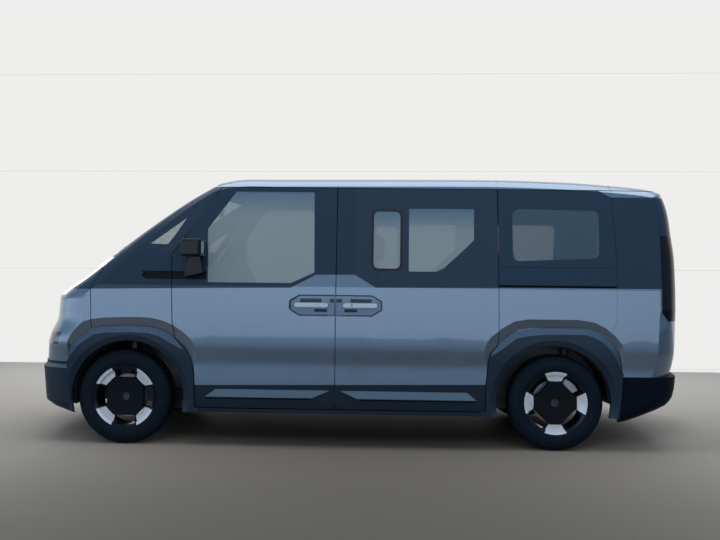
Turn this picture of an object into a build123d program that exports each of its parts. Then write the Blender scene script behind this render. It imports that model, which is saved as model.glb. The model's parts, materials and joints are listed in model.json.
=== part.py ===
"""Electric people van, about 4.7 m long, as separate body panels, doors, glass, wheels and running gear.

Frame, in millimetres: +X towards the nose, +Y to the left side, +Z up. The origin lies on the ground
below the middle of the vehicle's bounding box. Every sub-part is one named STEP file in parts/.
"""
from build123d import *
import math
import os

os.makedirs("parts", exist_ok=True)

# ---------------------------------------------------------------- overall sizes
FRONT_OVERHANG = 760.0
WHEELBASE = 2995.0
REAR_OVERHANG = 940.0
HALF_WIDTH = 947.5
ROOF_Z = 1905.0

LENGTH = FRONT_OVERHANG + WHEELBASE + REAR_OVERHANG
NOSE_X = LENGTH / 2
TAIL_X = -LENGTH / 2
FRONT_AXLE_X = NOSE_X - FRONT_OVERHANG
REAR_AXLE_X = FRONT_AXLE_X - WHEELBASE

# ---------------------------------------------------------------- body walls and gaps
SHUT_GAP = 6.0
DOOR_DEPTH = 112.0
PILLAR_DEPTH = 46.0
SKIN = 28.0
GLASS = 5.0
RUN_CLEAR = 5.0
SEAM = 4.0
SEAL = 18.0
EDGE_LAP = 9.0
SEAT_CLEAR = 0.3

# ---------------------------------------------------------------- heights
SILL_Z = 234.0
DOOR_BOTTOM_Z = 268.0
CREST_Z = 344.0
FLOOR_Z = 420.0
FLOOR_THICK = 90.0
CREASE_Z = 695.0
BELT_Z = 1112.0
DOOR_TOP_Z = 1808.0
TUMBLEHOME = 0.1526
BAND_WIDTH = 80.0
BAND_EDGE = 7.0
BAND_DEPTH = 30.0

# ---------------------------------------------------------------- wheels
TYRE_R = 330.0
TYRE_W = 215.0
RIM_R = 203.0
RIM_FLANGE_R = 218.0
TYRE_INSET = 30.0
SPINDLE_R = 30.0
BEARING_CLEAR = 0.05
WELL_R = TYRE_R + 64.0
WELL_WALL = 10.0
WHEEL_Y = HALF_WIDTH - TYRE_INSET - TYRE_W / 2
WHEEL_Z = TYRE_R
KINGPIN_Y = WHEEL_Y - 62.0


def fx(offset):
    """X of a point set from the front axle."""
    return FRONT_AXLE_X + offset


def rx(offset):
    """X of a point set from the rear axle."""
    return REAR_AXLE_X + offset


def between(table, at):
    """Smooth value at a place in a list of (place, value) pairs, with no overshoot between them."""
    if at <= table[0][0]:
        return table[0][1]
    if at >= table[-1][0]:
        return table[-1][1]
    slopes = [(v1 - v0) / (p1 - p0) for (p0, v0), (p1, v1) in zip(table, table[1:])]
    tangents = [slopes[0]]
    for a, b in zip(slopes, slopes[1:]):
        tangents.append(2 * a * b / (a + b) if a * b > 0 else 0.0)
    tangents.append(slopes[-1])
    for i, ((p0, v0), (p1, v1)) in enumerate(zip(table, table[1:])):
        if at <= p1:
            step = p1 - p0
            t = (at - p0) / step
            return ((1 + 2 * t) * (1 - t) ** 2 * v0 + t * (1 - t) ** 2 * step * tangents[i]
                    + t * t * (3 - 2 * t) * v1 + t * t * (t - 1) * step * tangents[i + 1])


def evenly(low, high, count):
    """count places from low to high, evenly spaced."""
    return [low + (high - low) * i / (count - 1) for i in range(count)]


# ---------------------------------------------------------------- outer skin
# How far the flank lies inside the half width, by height.
FLANK = [(SILL_Z - 24, 36.0), (290.0, 16.0), (350.0, 14.0), (470.0, 15.0), (580.0, 16.0),
         (CREASE_Z, 6.0), (900.0, 12.0), (BELT_Z, 22.0)]
FLANK_TOP_Z = 1990.0

# Centre-line nose and tail, by height, measured inwards from the two ends of the vehicle.
NOSE = [(480.0, 30.0), (571.0, 30.0), (640.0, 28.0), (711.0, 31.0), (772.0, 48.0), (837.0, 85.0),
        (900.0, 101.0), (1012.0, 107.0), (1051.0, 152.0), (1140.0, 299.0), (1333.0, 556.0),
        (1508.0, 786.0), (1713.0, 1074.0), (1830.0, 1268.0), (1925.0, 1430.0)]
TAIL = [(480.0, 58.0), (571.0, 34.0), (640.0, 17.0), (711.0, 8.0), (837.0, 4.0), (1012.0, 2.0),
        (1154.0, 5.0), (1333.0, 13.0), (1508.0, 38.0), (1612.0, 52.0), (1713.0, 76.0),
        (1830.0, 132.0), (1925.0, 210.0)]
NOSE_ARC = [(1012.0, 2172.0), (1140.0, 2900.0), (1333.0, 3300.0), (1925.0, 2800.0)]
NOSE_CORNER = [(700.0, 300.0), (1012.0, 290.0), (1140.0, 250.0), (1333.0, 190.0), (1600.0, 130.0),
               (1925.0, 110.0)]
TAIL_ARC = 3500.0
TAIL_CORNER = [(571.0, 200.0), (1333.0, 170.0), (1925.0, 120.0)]
EDGE_Z = 1012.0
FACE_LEVELS = evenly(SILL_Z - 20, EDGE_Z, 13)
CAB_LEVELS = evenly(EDGE_Z, 1925.0, 13)

# The bumpers stand further out than the panels above them.
BUMPER_NOSE = [(205.0, 185.0), (235.0, 110.0), (262.0, 42.0), (290.0, 23.0), (349.0, 16.0),
               (433.0, 8.0), (517.0, 0.0), (600.0, 0.0)]
BUMPER_TAIL = [(205.0, 330.0), (235.0, 250.0), (285.0, 132.0), (318.0, 68.0), (378.0, 21.0),
               (433.0, 8.0), (502.0, 0.0), (600.0, 0.0)]
BUMPER_LEVELS = [205.0, 245.0, 286.0, 318.0, 349.0, 378.0, 433.0, 517.0, 527.0, 550.0, 600.0]
BUMPER_LIP = [(527.0, 0.0), (550.0, 22.0)]

# Roof height at the centre line, by X.
ROOF_LINE = [(-NOSE_X - 30, ROOF_Z - 240), (TAIL_X + 110, ROOF_Z - 130), (TAIL_X + 250, ROOF_Z - 64),
             (rx(-400), ROOF_Z - 34), (rx(-60), ROOF_Z - 12), (rx(500), ROOF_Z),
             (fx(-1300), ROOF_Z - 8), (fx(-790), ROOF_Z - 14), (fx(-660), ROOF_Z - 34),
             (fx(-430), ROOF_Z - 110), (NOSE_X + 60, ROOF_Z - 640)]
ROOF_EDGE_Y = HALF_WIDTH - 251.0
ROOF_EDGE_DROP = 16.0


def flank_inset(z):
    """Distance of the flank inside the half width at height z."""
    if z >= BELT_Z:
        return FLANK[-1][1] + (z - BELT_Z) * TUMBLEHOME
    return between(FLANK, z)


def flank_prism(inset=0.0):
    """A prism along the vehicle whose sides are the two flanks, moved inwards by inset."""
    lower = [(HALF_WIDTH - flank_inset(z) - inset, z) for z in evenly(FLANK[0][0], BELT_Z, 13)]
    top = (HALF_WIDTH - flank_inset(FLANK_TOP_Z) - inset, FLANK_TOP_Z)
    with BuildPart() as prism:
        with BuildSketch(Plane.YZ.offset(TAIL_X - 60)):
            with BuildLine():
                right = Spline(*lower)
                Line(right @ 1, top)
                Line(top, (0, FLANK_TOP_Z))
                Line((0, FLANK_TOP_Z), (0, lower[0][1]))
                Line((0, lower[0][1]), lower[0])
            make_face()
            mirror(about=Plane.YZ)
        extrude(amount=LENGTH + 120)
    return prism.part


def plan_outline(nose, nose_arc, nose_corner, tail, tail_arc, tail_corner, half):
    """Draws the vehicle's outline seen from above: two end arcs, four corner arcs and two sides."""
    def corner(end, arc, radius, sign):
        hub = end - sign * arc
        cx = hub + sign * math.sqrt((arc - radius) ** 2 - (half - radius) ** 2)
        cy = half - radius
        reach = math.hypot(cx - hub, cy)
        on_arc = (hub + (cx - hub) * arc / reach, cy * arc / reach)
        turn = math.atan2(on_arc[1] - cy, on_arc[0] - cx)
        middle = (turn + math.pi / 2) / 2
        on_corner = (cx + radius * math.cos(middle), cy + radius * math.sin(middle))
        return on_arc, on_corner, (cx, half)

    n_arc, n_mid, n_side = corner(nose, nose_arc, nose_corner, 1)
    t_arc, t_mid, t_side = corner(tail, tail_arc, tail_corner, -1)

    def flip(p):
        return (p[0], -p[1])

    ThreePointArc(flip(n_arc), (nose, 0), n_arc)
    ThreePointArc(n_arc, n_mid, n_side)
    Line(n_side, t_side)
    ThreePointArc(t_side, t_mid, t_arc)
    ThreePointArc(t_arc, (tail, 0), flip(t_arc))
    ThreePointArc(flip(t_arc), flip(t_mid), flip(t_side))
    Line(flip(t_side), flip(n_side))
    ThreePointArc(flip(n_side), flip(n_mid), flip(n_arc))


def plan_loft(levels, nose, tail, inset, slack, ruled=False, lip=((0.0, 0.0),)):
    """A body lofted through outlines seen from above, one at each height in levels."""
    with BuildPart() as body:
        for z in levels:
            draw = inset + between(lip, z)
            with BuildSketch(Plane.XY.offset(z)):
                with BuildLine():
                    plan_outline(NOSE_X - between(nose, z) - draw,
                                 between(NOSE_ARC, z) - draw,
                                 between(NOSE_CORNER, z) - draw,
                                 TAIL_X + between(tail, z) + draw,
                                 TAIL_ARC - draw,
                                 between(TAIL_CORNER, z) - draw,
                                 HALF_WIDTH - flank_inset(z) + slack - draw)
                make_face()
        loft(ruled=ruled)
    return body.part


def crown(inset=0.0):
    """Everything below the crowned roof, lofted through cross-sections along the vehicle."""
    with BuildPart() as body:
        for x in evenly(ROOF_LINE[0][0], ROOF_LINE[-1][0], 25):
            z = between(ROOF_LINE, x)
            edge = (ROOF_EDGE_Y, z - ROOF_EDGE_DROP - inset)
            drip = (HALF_WIDTH - flank_inset(z - 90) + 6, z - 90 - inset)
            shoulder = (edge[0] + 0.62 * (drip[0] - edge[0]), edge[1] - 0.3 * (edge[1] - drip[1]))
            with BuildSketch(Plane.YZ.offset(x)):
                with BuildLine():
                    ThreePointArc((-edge[0], edge[1]), (0, z - inset), edge)
                    ThreePointArc(edge, shoulder, drip)
                    Line(drip, (HALF_WIDTH + 80, z - 260))
                    Line((HALF_WIDTH + 80, z - 260), (HALF_WIDTH + 80, 0))
                    Line((HALF_WIDTH + 80, 0), (-HALF_WIDTH - 80, 0))
                    Line((-HALF_WIDTH - 80, 0), (-HALF_WIDTH - 80, z - 260))
                    Line((-HALF_WIDTH - 80, z - 260), (-drip[0], drip[1]))
                    ThreePointArc((-drip[0], drip[1]), (-shoulder[0], shoulder[1]), (-edge[0], edge[1]))
                make_face()
        loft()
    return body.part


def upper_body(inset=0.0):
    """The van's outer shape above the bumpers, moved inwards by inset all round."""
    with BuildPart() as body:
        add(plan_loft(FACE_LEVELS, NOSE, TAIL, inset, 3.0))
        add(plan_loft(CAB_LEVELS, NOSE, TAIL, inset, 3.0))
        add(flank_prism(inset), mode=Mode.INTERSECT)
        add(crown(inset), mode=Mode.INTERSECT)
    return body.part


def side_prism(points, near=480.0, far=1100.0, grow=0.0, round_by=0.0, taper=0.0):
    """A prism across the left side whose outline, seen from that side, is the polygon (x, z) points."""
    left = Plane(origin=(0, near, 0), x_dir=(-1, 0, 0), z_dir=(0, 1, 0))
    with BuildPart() as prism:
        with BuildSketch(left):
            with BuildLine():
                Polyline(*[(-x, z) for x, z in points], close=True)
            outline = make_face()
            if round_by:
                fillet(outline.vertices(), round_by)
            if grow:
                offset(amount=grow, kind=Kind.INTERSECTION)
        extrude(amount=far - near, taper=taper)
    return prism.part


def front_prism(points, low, high):
    """A prism along the vehicle, from x = low to x = high, over the polygon (y, z) points."""
    with BuildPart() as prism:
        with BuildSketch(Plane.YZ.offset(low)):
            with BuildLine():
                Polyline(*points, close=True)
            make_face()
        extrude(amount=high - low)
    return prism.part


def plan_prism(points, low, high):
    """A prism from z = low to z = high over the polygon (x, y) points."""
    with BuildPart() as prism:
        with BuildSketch(Plane.XY.offset(low)):
            with BuildLine():
                Polyline(*points, close=True)
            make_face()
        extrude(amount=high - low)
    return prism.part


def block(x0, x1, y0, y1, z0, z1):
    """An upright box between two corners."""
    with BuildPart() as body:
        with Locations(((x0 + x1) / 2, (y0 + y1) / 2, (z0 + z1) / 2)):
            Box(abs(x1 - x0), abs(y1 - y0), abs(z1 - z0))
    return body.part


def drum(x, z, radius, y0, y1):
    """A cylinder across the vehicle."""
    left = Plane(origin=(x, y0, z), x_dir=(-1, 0, 0), z_dir=(0, 1, 0))
    with BuildPart() as body:
        with BuildSketch(left):
            Circle(radius)
        extrude(amount=y1 - y0)
    return body.part


def save(builder, name):
    """Labels a finished sub-part and writes its STEP file."""
    builder.part.label = name
    export_step(builder.part, f"parts/{name}.step")


# ---------------------------------------------------------------- shared solids
outer = upper_body()
behind_skin = upper_body(SKIN)
behind_glass = upper_body(GLASS)
behind_pillar = upper_body(PILLAR_DEPTH)
behind_seal = upper_body(PILLAR_DEPTH + SEAT_CLEAR)
over_skin = upper_body(-SEAT_CLEAR)
BUMPER_WALL = 38.0
bumper_body = plan_loft(BUMPER_LEVELS, BUMPER_NOSE, BUMPER_TAIL, 0.0, -2.0, ruled=True, lip=BUMPER_LIP)
bumper_void = plan_loft([BUMPER_LEVELS[0] - 20] + BUMPER_LEVELS[1:-1] + [BUMPER_LEVELS[-1] + 20],
                        BUMPER_NOSE, BUMPER_TAIL, BUMPER_WALL, -2.0, ruled=True)

INNER_Y = HALF_WIDTH - DOOR_DEPTH
SILL_IN_Y = INNER_Y - RUN_CLEAR
LEDGE_Z = BELT_Z - 24
B_X = fx(-1469.5)
COWL_X = fx(196)
COWL_Z = 1336.0
HINGE_REAR_X = TAIL_X + 250

CABIN = [(TAIL_X + 92, FLOOR_Z), (fx(-450), FLOOR_Z), (fx(-330), 745), (fx(-60), 800), (fx(60), 1120),
         (fx(105), 1296), (fx(200), 1300), (fx(200), ROOF_Z + 60), (TAIL_X + 130, ROOF_Z + 60)]
with BuildPart() as cabin_builder:
    add(behind_pillar)
    add(side_prism(CABIN, near=-900, far=900), mode=Mode.INTERSECT)
    add(block(TAIL_X, NOSE_X, INNER_Y, 1000, 0, LEDGE_Z), mode=Mode.SUBTRACT)
    add(block(TAIL_X, NOSE_X, -1000, -INNER_Y, 0, LEDGE_Z), mode=Mode.SUBTRACT)
cabin = cabin_builder.part

BULKHEAD = 14.0
NOSE_BAY = [(fx(-450) + BULKHEAD, 180), (NOSE_X + 40, 180), (NOSE_X + 40, 1286), (fx(105) + BULKHEAD, 1286),
            (fx(60) + BULKHEAD, 1116), (fx(-60) + BULKHEAD, 786), (fx(-330) + BULKHEAD, 731),
            (fx(-450) + BULKHEAD, 420)]
with BuildPart() as bay_builder:
    add(behind_skin)
    add(side_prism(NOSE_BAY, near=-930, far=930), mode=Mode.INTERSECT)
nose_bay = bay_builder.part

FRONT_ARCH_X = fx(-25)
REAR_ARCH_X = rx(18)
WELL_IN_Y = WHEEL_Y - 252.0
front_well = drum(FRONT_ARCH_X, WHEEL_Z, WELL_R, 470, 1100)
rear_well = drum(REAR_ARCH_X, WHEEL_Z, WELL_R, 560, 1100)

# ---------------------------------------------------------------- outlines of the side panels
FRONT_DOOR = [(B_X + SHUT_GAP / 2, DOOR_BOTTOM_Z), (fx(-504), DOOR_BOTTOM_Z), (fx(-497), 434),
              (fx(-483), 534), (fx(-460), 609), (fx(-418), 676), (fx(-355), 748), (fx(-337), 867),
              (fx(-329), 1077), (fx(-319), 1322), (fx(-648), DOOR_TOP_Z), (B_X + SHUT_GAP / 2, DOOR_TOP_Z)]
SLIDING_DOOR = [(B_X - SHUT_GAP / 2, DOOR_BOTTOM_Z), (B_X - SHUT_GAP / 2, DOOR_TOP_Z),
                (rx(407), DOOR_TOP_Z), (rx(402), 1127), (rx(400), 730), (rx(450), 674),
                (rx(472), 591), (rx(485), 463), (rx(487), DOOR_BOTTOM_Z)]
FRONT_CLADDING = [(fx(372), SILL_Z), (fx(401), 573), (fx(394), 643), (fx(383), 675), (fx(359), 711),
                  (fx(308), 752), (fx(233), 805), (fx(148), 819), (fx(-63), 828), (fx(-190), 819),
                  (fx(-275), 795), (fx(-344), 752), (fx(-530), 640), (fx(-530), SILL_Z)]
REAR_CLADDING = [(rx(520), SILL_Z), (rx(520), 640), (rx(395), 742), (rx(300), 815), (rx(200), 838),
                 (rx(70), 850), (rx(-120), 850), (rx(-222), 846), (rx(-290), 821), (rx(-342), 788),
                 (rx(-393), 739), (rx(-424), 693), (rx(-437), 651), (rx(-446), 578), (rx(-452), 536),
                 (rx(-425), SILL_Z)]
FENDER = [(fx(-430), 600), (fx(-430), COWL_Z - 8), (fx(130), COWL_Z - 8), (fx(198), 1170),
          (fx(250), 1084), (fx(240), 1070), (fx(231), 820), (fx(231), 600)]
FRONT_WINDOW = [(fx(-567), 1126), (fx(-552), 1423), (fx(-551), 1513), (fx(-749), 1788),
                (fx(-1315), 1788), (fx(-1328), 1204), (fx(-1162), 1126)]
SMALL_WINDOW = [(fx(-1728), 1245), (fx(-1728), 1645), (fx(-1912), 1645), (fx(-1912), 1245)]
LARGE_WINDOW = [(fx(-1973), 1666), (rx(570), 1668), (rx(571), 1451), (rx(626), 1395), (rx(778), 1253),
                (rx(833), 1227), (fx(-1973), 1227)]
SLIDING_GLASS = [(fx(-1597), DOOR_TOP_Z - 4), (rx(412), DOOR_TOP_Z - 4), (rx(408), 1122),
                 (fx(-1744), 1122), (fx(-1600), 1201)]
QUARTER_WINDOW = [(rx(302), 1670), (rx(-295), 1666), (rx(-292), 1332), (rx(302), 1306)]
VENT_WINDOW = [(fx(-128), 1394), (fx(-456), 1640), (fx(-330), 1436), (fx(-276), 1366)]
QUARTER_PANEL = [(rx(396), 520), (rx(400), DOOR_TOP_Z), (TAIL_X - 60, DOOR_TOP_Z), (TAIL_X - 60, 520)]
FRONT_BAND = [(fx(418), 560), (fx(418), 731), (fx(377), 790), (fx(294), 859), (fx(235), 881),
              (fx(134), 896), (fx(-60), 903), (fx(-188), 899), (fx(-273), 876), (fx(-329), 851),
              (fx(-402), 801), (fx(-462), 743), (fx(-506), 677), (fx(-519), 636), (fx(-524), 480)]
REAR_BAND = [(rx(510), 480), (rx(505), 650), (rx(490), 720), (rx(452), 785), (rx(380), 850),
             (rx(300), 905), (rx(200), 925), (rx(-150), 925), (rx(-262), 905), (rx(-340), 860),
             (rx(-400), 800), (rx(-448), 730), (rx(-462), 650), (rx(-470), 540)]
SCREEN_HALF = HALF_WIDTH - 147.5
SCREEN = [(-SCREEN_HALF, COWL_Z + 12), (SCREEN_HALF, COWL_Z + 12), (SCREEN_HALF - 78, 1846),
          (78 - SCREEN_HALF, 1846)]
TAILGATE_HALF = HALF_WIDTH - 147.5
TAILGATE = [(-TAILGATE_HALF, 527), (TAILGATE_HALF, 527), (TAILGATE_HALF, 1150),
            (TAILGATE_HALF - 72, ROOF_Z + 60), (72 - TAILGATE_HALF, ROOF_Z + 60), (-TAILGATE_HALF, 1150)]


def arch_band(points, x, width):
    """What is cut from the flank round a wheel arch, so that a band leans in towards the cladding."""
    rim = []
    for px, pz in points:
        reach = math.hypot(px - x, pz - WHEEL_Z)
        rim.append((x + (px - x) * (1 - width / reach), WHEEL_Z + (pz - WHEEL_Z) * (1 - width / reach)))
    with BuildPart() as cut:
        for y, outline in ((HALF_WIDTH - BAND_DEPTH, rim), (HALF_WIDTH - BAND_EDGE, points)):
            with BuildSketch(Plane(origin=(0, y, 0), x_dir=(-1, 0, 0), z_dir=(0, 1, 0))):
                with BuildLine():
                    Polyline(*[(-px, pz) for px, pz in outline], close=True)
                make_face()
        loft(ruled=True)
    return cut.part


with BuildPart() as flank_builder:
    add(outer)
    for band, x in ((FRONT_BAND, FRONT_ARCH_X), (REAR_BAND, REAR_ARCH_X)):
        add(arch_band(band, x, BAND_WIDTH), mode=Mode.SUBTRACT)
        add(side_prism(band, near=HALF_WIDTH - BAND_EDGE), mode=Mode.SUBTRACT)
left_flank = flank_builder.part

with BuildPart() as seam_builder:
    add(outer)
    add(behind_glass, mode=Mode.SUBTRACT)
seam_shell = seam_builder.part


def seam(points, upright=True):
    """A narrow groove in the left flank along the (x, z) points."""
    dx, dz = (SEAM / 2, 0) if upright else (0, SEAM / 2)
    there = [(x - dx, z - dz) for x, z in points]
    back = [(x + dx, z + dz) for x, z in reversed(points)]
    with BuildPart() as groove:
        add(seam_shell)
        add(side_prism(there + back, near=500), mode=Mode.INTERSECT)
    return groove.part


REAR_SEAM = [(rx(-382), DOOR_TOP_Z + 40), (rx(-412), 1328), (rx(-410), 1126), (rx(-408), 900),
             (rx(-352), 800)]
GLASS_SEAM = [(rx(397), 1264), (rx(-409), 1264)]
CATCH_SEAM = [(fx(-1760), 1234), (fx(-1754), 1120)]
door_hole = side_prism(FRONT_DOOR, grow=SHUT_GAP)
slide_hole = side_prism(SLIDING_DOOR, grow=SHUT_GAP * 0.7)

# ---------------------------------------------------------------- front doors
HANDLE_Z = 986.0
HANDLE_IN = B_X + 314
HANDLE_POCKET = [(B_X, 922), (HANDLE_IN - 62, 922), (HANDLE_IN, 960), (HANDLE_IN, 1012),
                 (HANDLE_IN - 62, 1050), (B_X, 1050)]
SLIDE_POCKET = [(2 * B_X - x, z) for x, z in HANDLE_POCKET]
POCKET_Y = HALF_WIDTH - 52
MIRROR_SLOT = [(fx(-627), 1154), (fx(-138), 1154), (fx(-112), 1182), (fx(-138), 1210), (fx(-627), 1210)]
mirror_slot = side_prism(MIRROR_SLOT, near=HALF_WIDTH - 46)

with BuildPart() as handle_builder:
    with BuildSketch(Plane(origin=(B_X + 170, POCKET_Y + 16, HANDLE_Z), x_dir=(-1, 0, 0), z_dir=(0, 1, 0))):
        SlotOverall(236, 30)
    extrude(amount=20)
    for end in (82, 258):
        add(block(B_X + end - 14, B_X + end + 14, POCKET_Y - 2, POCKET_Y + 18, HANDLE_Z - 11, HANDLE_Z + 11))
handle_bar = handle_builder.part

# The door's skin laps past its inner shell at the rear edge, which gives the shell room to swing out.
with BuildPart() as rear_edge:
    add(behind_glass)
    add(block(B_X - 10, B_X + SHUT_GAP / 2 + EDGE_LAP, 0, 1000, 0, 2000), mode=Mode.INTERSECT)

# A moulded rib runs along each door's foot; its ends are cut on the slant.
RIB_TOP_Z = 396.0
RIB_UNDERCUT = 16.0
RIB_SECTION = [(HALF_WIDTH - 19, RIB_TOP_Z), (HALF_WIDTH - 14, RIB_TOP_Z), (HALF_WIDTH, CREST_Z),
               (HALF_WIDTH, CREST_Z - 4), (HALF_WIDTH - 14, CREST_Z - RIB_UNDERCUT),
               (HALF_WIDTH - 19, CREST_Z - RIB_UNDERCUT)]
FRONT_RIB = [(fx(-574), CREST_Z - RIB_UNDERCUT), (fx(-574), CREST_Z), (fx(-644), RIB_TOP_Z),
             (B_X + 36, RIB_TOP_Z), (B_X + 155, CREST_Z), (B_X + 175, CREST_Z - RIB_UNDERCUT)]
SLIDE_RIB = [(B_X - 175, CREST_Z - RIB_UNDERCUT), (B_X - 155, CREST_Z), (B_X - 36, RIB_TOP_Z),
             (rx(612), RIB_TOP_Z), (rx(549), CREST_Z), (rx(549), CREST_Z - RIB_UNDERCUT)]


def rib(outline):
    """The stretch of moulded rib inside an outline seen from the side."""
    ends = [x for x, z in outline]
    with BuildPart() as stretch:
        add(front_prism(RIB_SECTION, min(ends), max(ends)))
        add(side_prism(outline, near=HALF_WIDTH - 20), mode=Mode.INTERSECT)
    return stretch.part


def pocket_bevel(outline):
    """The bevelled rim of a handle pocket."""
    return side_prism(outline, near=HALF_WIDTH - 30, far=HALF_WIDTH, taper=-35)


MAP_POCKET = [(fx(-1330), 430), (fx(-1330), 560), (fx(-900), 600), (fx(-720), 560), (fx(-690), 430)]
with BuildPart() as armrest_builder:
    add(side_prism([(fx(-1300), 700), (fx(-1300), 752), (fx(-960), 760), (fx(-760), 800), (fx(-690), 800),
                    (fx(-700), 740), (fx(-900), 700)], near=INNER_Y - 62, far=INNER_Y + 1))
    fillet(armrest_builder.faces().sort_by(Axis.Y)[0].edges(), 16)
armrest = armrest_builder.part

with BuildPart() as front_door_left:
    add(left_flank)
    add(side_prism(FRONT_DOOR), mode=Mode.INTERSECT)
    add(cabin, mode=Mode.SUBTRACT)
    add(block(B_X - 100, fx(0), 0, INNER_Y, 0, LEDGE_Z), mode=Mode.SUBTRACT)
    add(side_prism(FRONT_WINDOW), mode=Mode.SUBTRACT)
    add(mirror_slot, mode=Mode.SUBTRACT)
    add(side_prism(HANDLE_POCKET, near=POCKET_Y), mode=Mode.SUBTRACT)
    add(pocket_bevel(HANDLE_POCKET), mode=Mode.SUBTRACT)
    add(rear_edge.part, mode=Mode.SUBTRACT)
    add(handle_bar)
    add(rib(FRONT_RIB))
    add(side_prism(MAP_POCKET, near=INNER_Y - 1, far=INNER_Y + 42, round_by=18), mode=Mode.SUBTRACT)
    add(armrest)
save(front_door_left, "front_door_left")

with BuildPart() as front_door_right:
    mirror(front_door_left.part, about=Plane.XZ)
save(front_door_right, "front_door_right")

with BuildPart() as front_window_left:
    add(upper_body(3.0))
    add(side_prism(FRONT_WINDOW), mode=Mode.INTERSECT)
    add(upper_body(3.0 + GLASS), mode=Mode.SUBTRACT)
save(front_window_left, "front_door_window_left")

with BuildPart() as front_window_right:
    mirror(front_window_left.part, about=Plane.XZ)
save(front_window_right, "front_door_window_right")

# ---------------------------------------------------------------- sliding doors
with BuildPart() as sliding_glass:
    add(outer)
    add(side_prism(SLIDING_GLASS), mode=Mode.INTERSECT)
    add(behind_glass, mode=Mode.SUBTRACT)

with BuildPart() as seal_ring:
    add(seam_shell)
    add(side_prism(SMALL_WINDOW, round_by=34, grow=SEAL), mode=Mode.INTERSECT)
    add(side_prism(SMALL_WINDOW, round_by=34), mode=Mode.SUBTRACT)

with BuildPart() as window_seals:
    add(seal_ring.part)
    mirror(about=Plane.XZ)
save(window_seals, "window_seals")

with BuildPart() as sliding_windows:
    add(sliding_glass.part)
    add(seal_ring.part, mode=Mode.SUBTRACT)
    add(seam(CATCH_SEAM), mode=Mode.SUBTRACT)
    mirror(about=Plane.XZ)
save(sliding_windows, "sliding_door_windows")

POST_LOW_X = B_X - 62
POST_HIGH_X = B_X + 58

with BuildPart() as sliding_door:
    add(left_flank)
    add(side_prism(SLIDING_DOOR), mode=Mode.INTERSECT)
    add(cabin, mode=Mode.SUBTRACT)
    add(block(rx(300), B_X + 100, 0, INNER_Y, 0, LEDGE_Z), mode=Mode.SUBTRACT)
    add(side_prism(SMALL_WINDOW, round_by=34), mode=Mode.SUBTRACT)
    add(side_prism(LARGE_WINDOW, round_by=18), mode=Mode.SUBTRACT)
    add(sliding_glass.part, mode=Mode.SUBTRACT)
    add(side_prism(SLIDE_POCKET, near=POCKET_Y), mode=Mode.SUBTRACT)
    add(pocket_bevel(SLIDE_POCKET), mode=Mode.SUBTRACT)
    add(rib(SLIDE_RIB))
    add(mirror(handle_bar, about=Plane.YZ.offset(B_X), mode=Mode.PRIVATE))
    add(block(rx(560), B_X - 160, SILL_IN_Y + SEAT_CLEAR, INNER_Y, FLOOR_Z - 50, FLOOR_Z - 20))
    mirror(about=Plane.XZ)
save(sliding_door, "sliding_doors")


# ---------------------------------------------------------------- side frames
SILL_OUT_Y = HALF_WIDTH - 14
SILL_CORE_Y = SILL_IN_Y - 130.5
POST_DEPTH = 65.0
HINGE_POST = [(fx(-545), SILL_Z), (fx(-440), SILL_Z), (fx(-430), 520), (fx(-370), 680), (fx(-300), 745),
              (fx(-292), 1300), (fx(-372), 1300), (fx(-400), 800), (fx(-545), 560)]
A_PILLAR = [(fx(-319) + SHUT_GAP, COWL_Z - 8), (fx(200), COWL_Z - 8), (fx(200), ROOF_Z), (fx(-700), ROOF_Z),
            (fx(-648), DOOR_TOP_Z + SHUT_GAP)]
ROOF_BASE_Z = DOOR_TOP_Z + RUN_CLEAR
RAIL_Y = HALF_WIDTH - flank_inset(DOOR_TOP_Z) - PILLAR_DEPTH - RUN_CLEAR
CANT_RAIL = [(RAIL_Y + 6, 1768), (RAIL_Y - 2, 1822), (RAIL_Y - 2, ROOF_Z), (RAIL_Y - 70, ROOF_Z),
             (RAIL_Y - 76, 1800), (RAIL_Y - 50, 1768)]
B_POST = [(SILL_IN_Y, 400), (SILL_IN_Y, 1130), (RAIL_Y + 2, 1775), (RAIL_Y - 50, 1775),
          (SILL_IN_Y - 50, 1130), (SILL_IN_Y - 50, 400)]
SILL = [(SILL_CORE_Y, SILL_Z), (SILL_OUT_Y, SILL_Z), (SILL_OUT_Y, DOOR_BOTTOM_Z - SHUT_GAP),
        (SILL_IN_Y, DOOR_BOTTOM_Z - SHUT_GAP), (SILL_IN_Y, FLOOR_Z), (SILL_CORE_Y, FLOOR_Z)]

screen_prism = front_prism(SCREEN, fx(-900), NOSE_X)
tailgate_prism = front_prism(TAILGATE, TAIL_X - 80, HINGE_REAR_X)
with BuildPart() as tailgate_gap_builder:
    add(tailgate_prism)
    offset(amount=SHUT_GAP)
tailgate_hole = tailgate_gap_builder.part

with BuildPart() as door_run:
    add(block(POST_HIGH_X, fx(0), 0, 1000, 1700, DOOR_TOP_Z + RUN_CLEAR))
    add(upper_body(PILLAR_DEPTH + RUN_CLEAR), mode=Mode.SUBTRACT)

with BuildPart() as cant_rail:
    add(front_prism(CANT_RAIL, HINGE_REAR_X + 60, fx(-730)))
    add(behind_seal, mode=Mode.INTERSECT)
    add(door_run.part, mode=Mode.SUBTRACT)

RAIL_SLOT_Z = 1126.0
LAMP_FRONT_X = TAIL_X + 226
LAMP_LOW_Z = 904.0
LAMP_HIGH_Z = 1494.0
TAIL_LAMP = [(LAMP_FRONT_X, LAMP_LOW_Z + 60), (LAMP_FRONT_X - 46, LAMP_LOW_Z), (TAIL_X - 60, LAMP_LOW_Z),
             (TAIL_X - 60, LAMP_HIGH_Z), (LAMP_FRONT_X, LAMP_HIGH_Z)]
tail_lamp_prism = side_prism(TAIL_LAMP, near=500)

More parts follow.
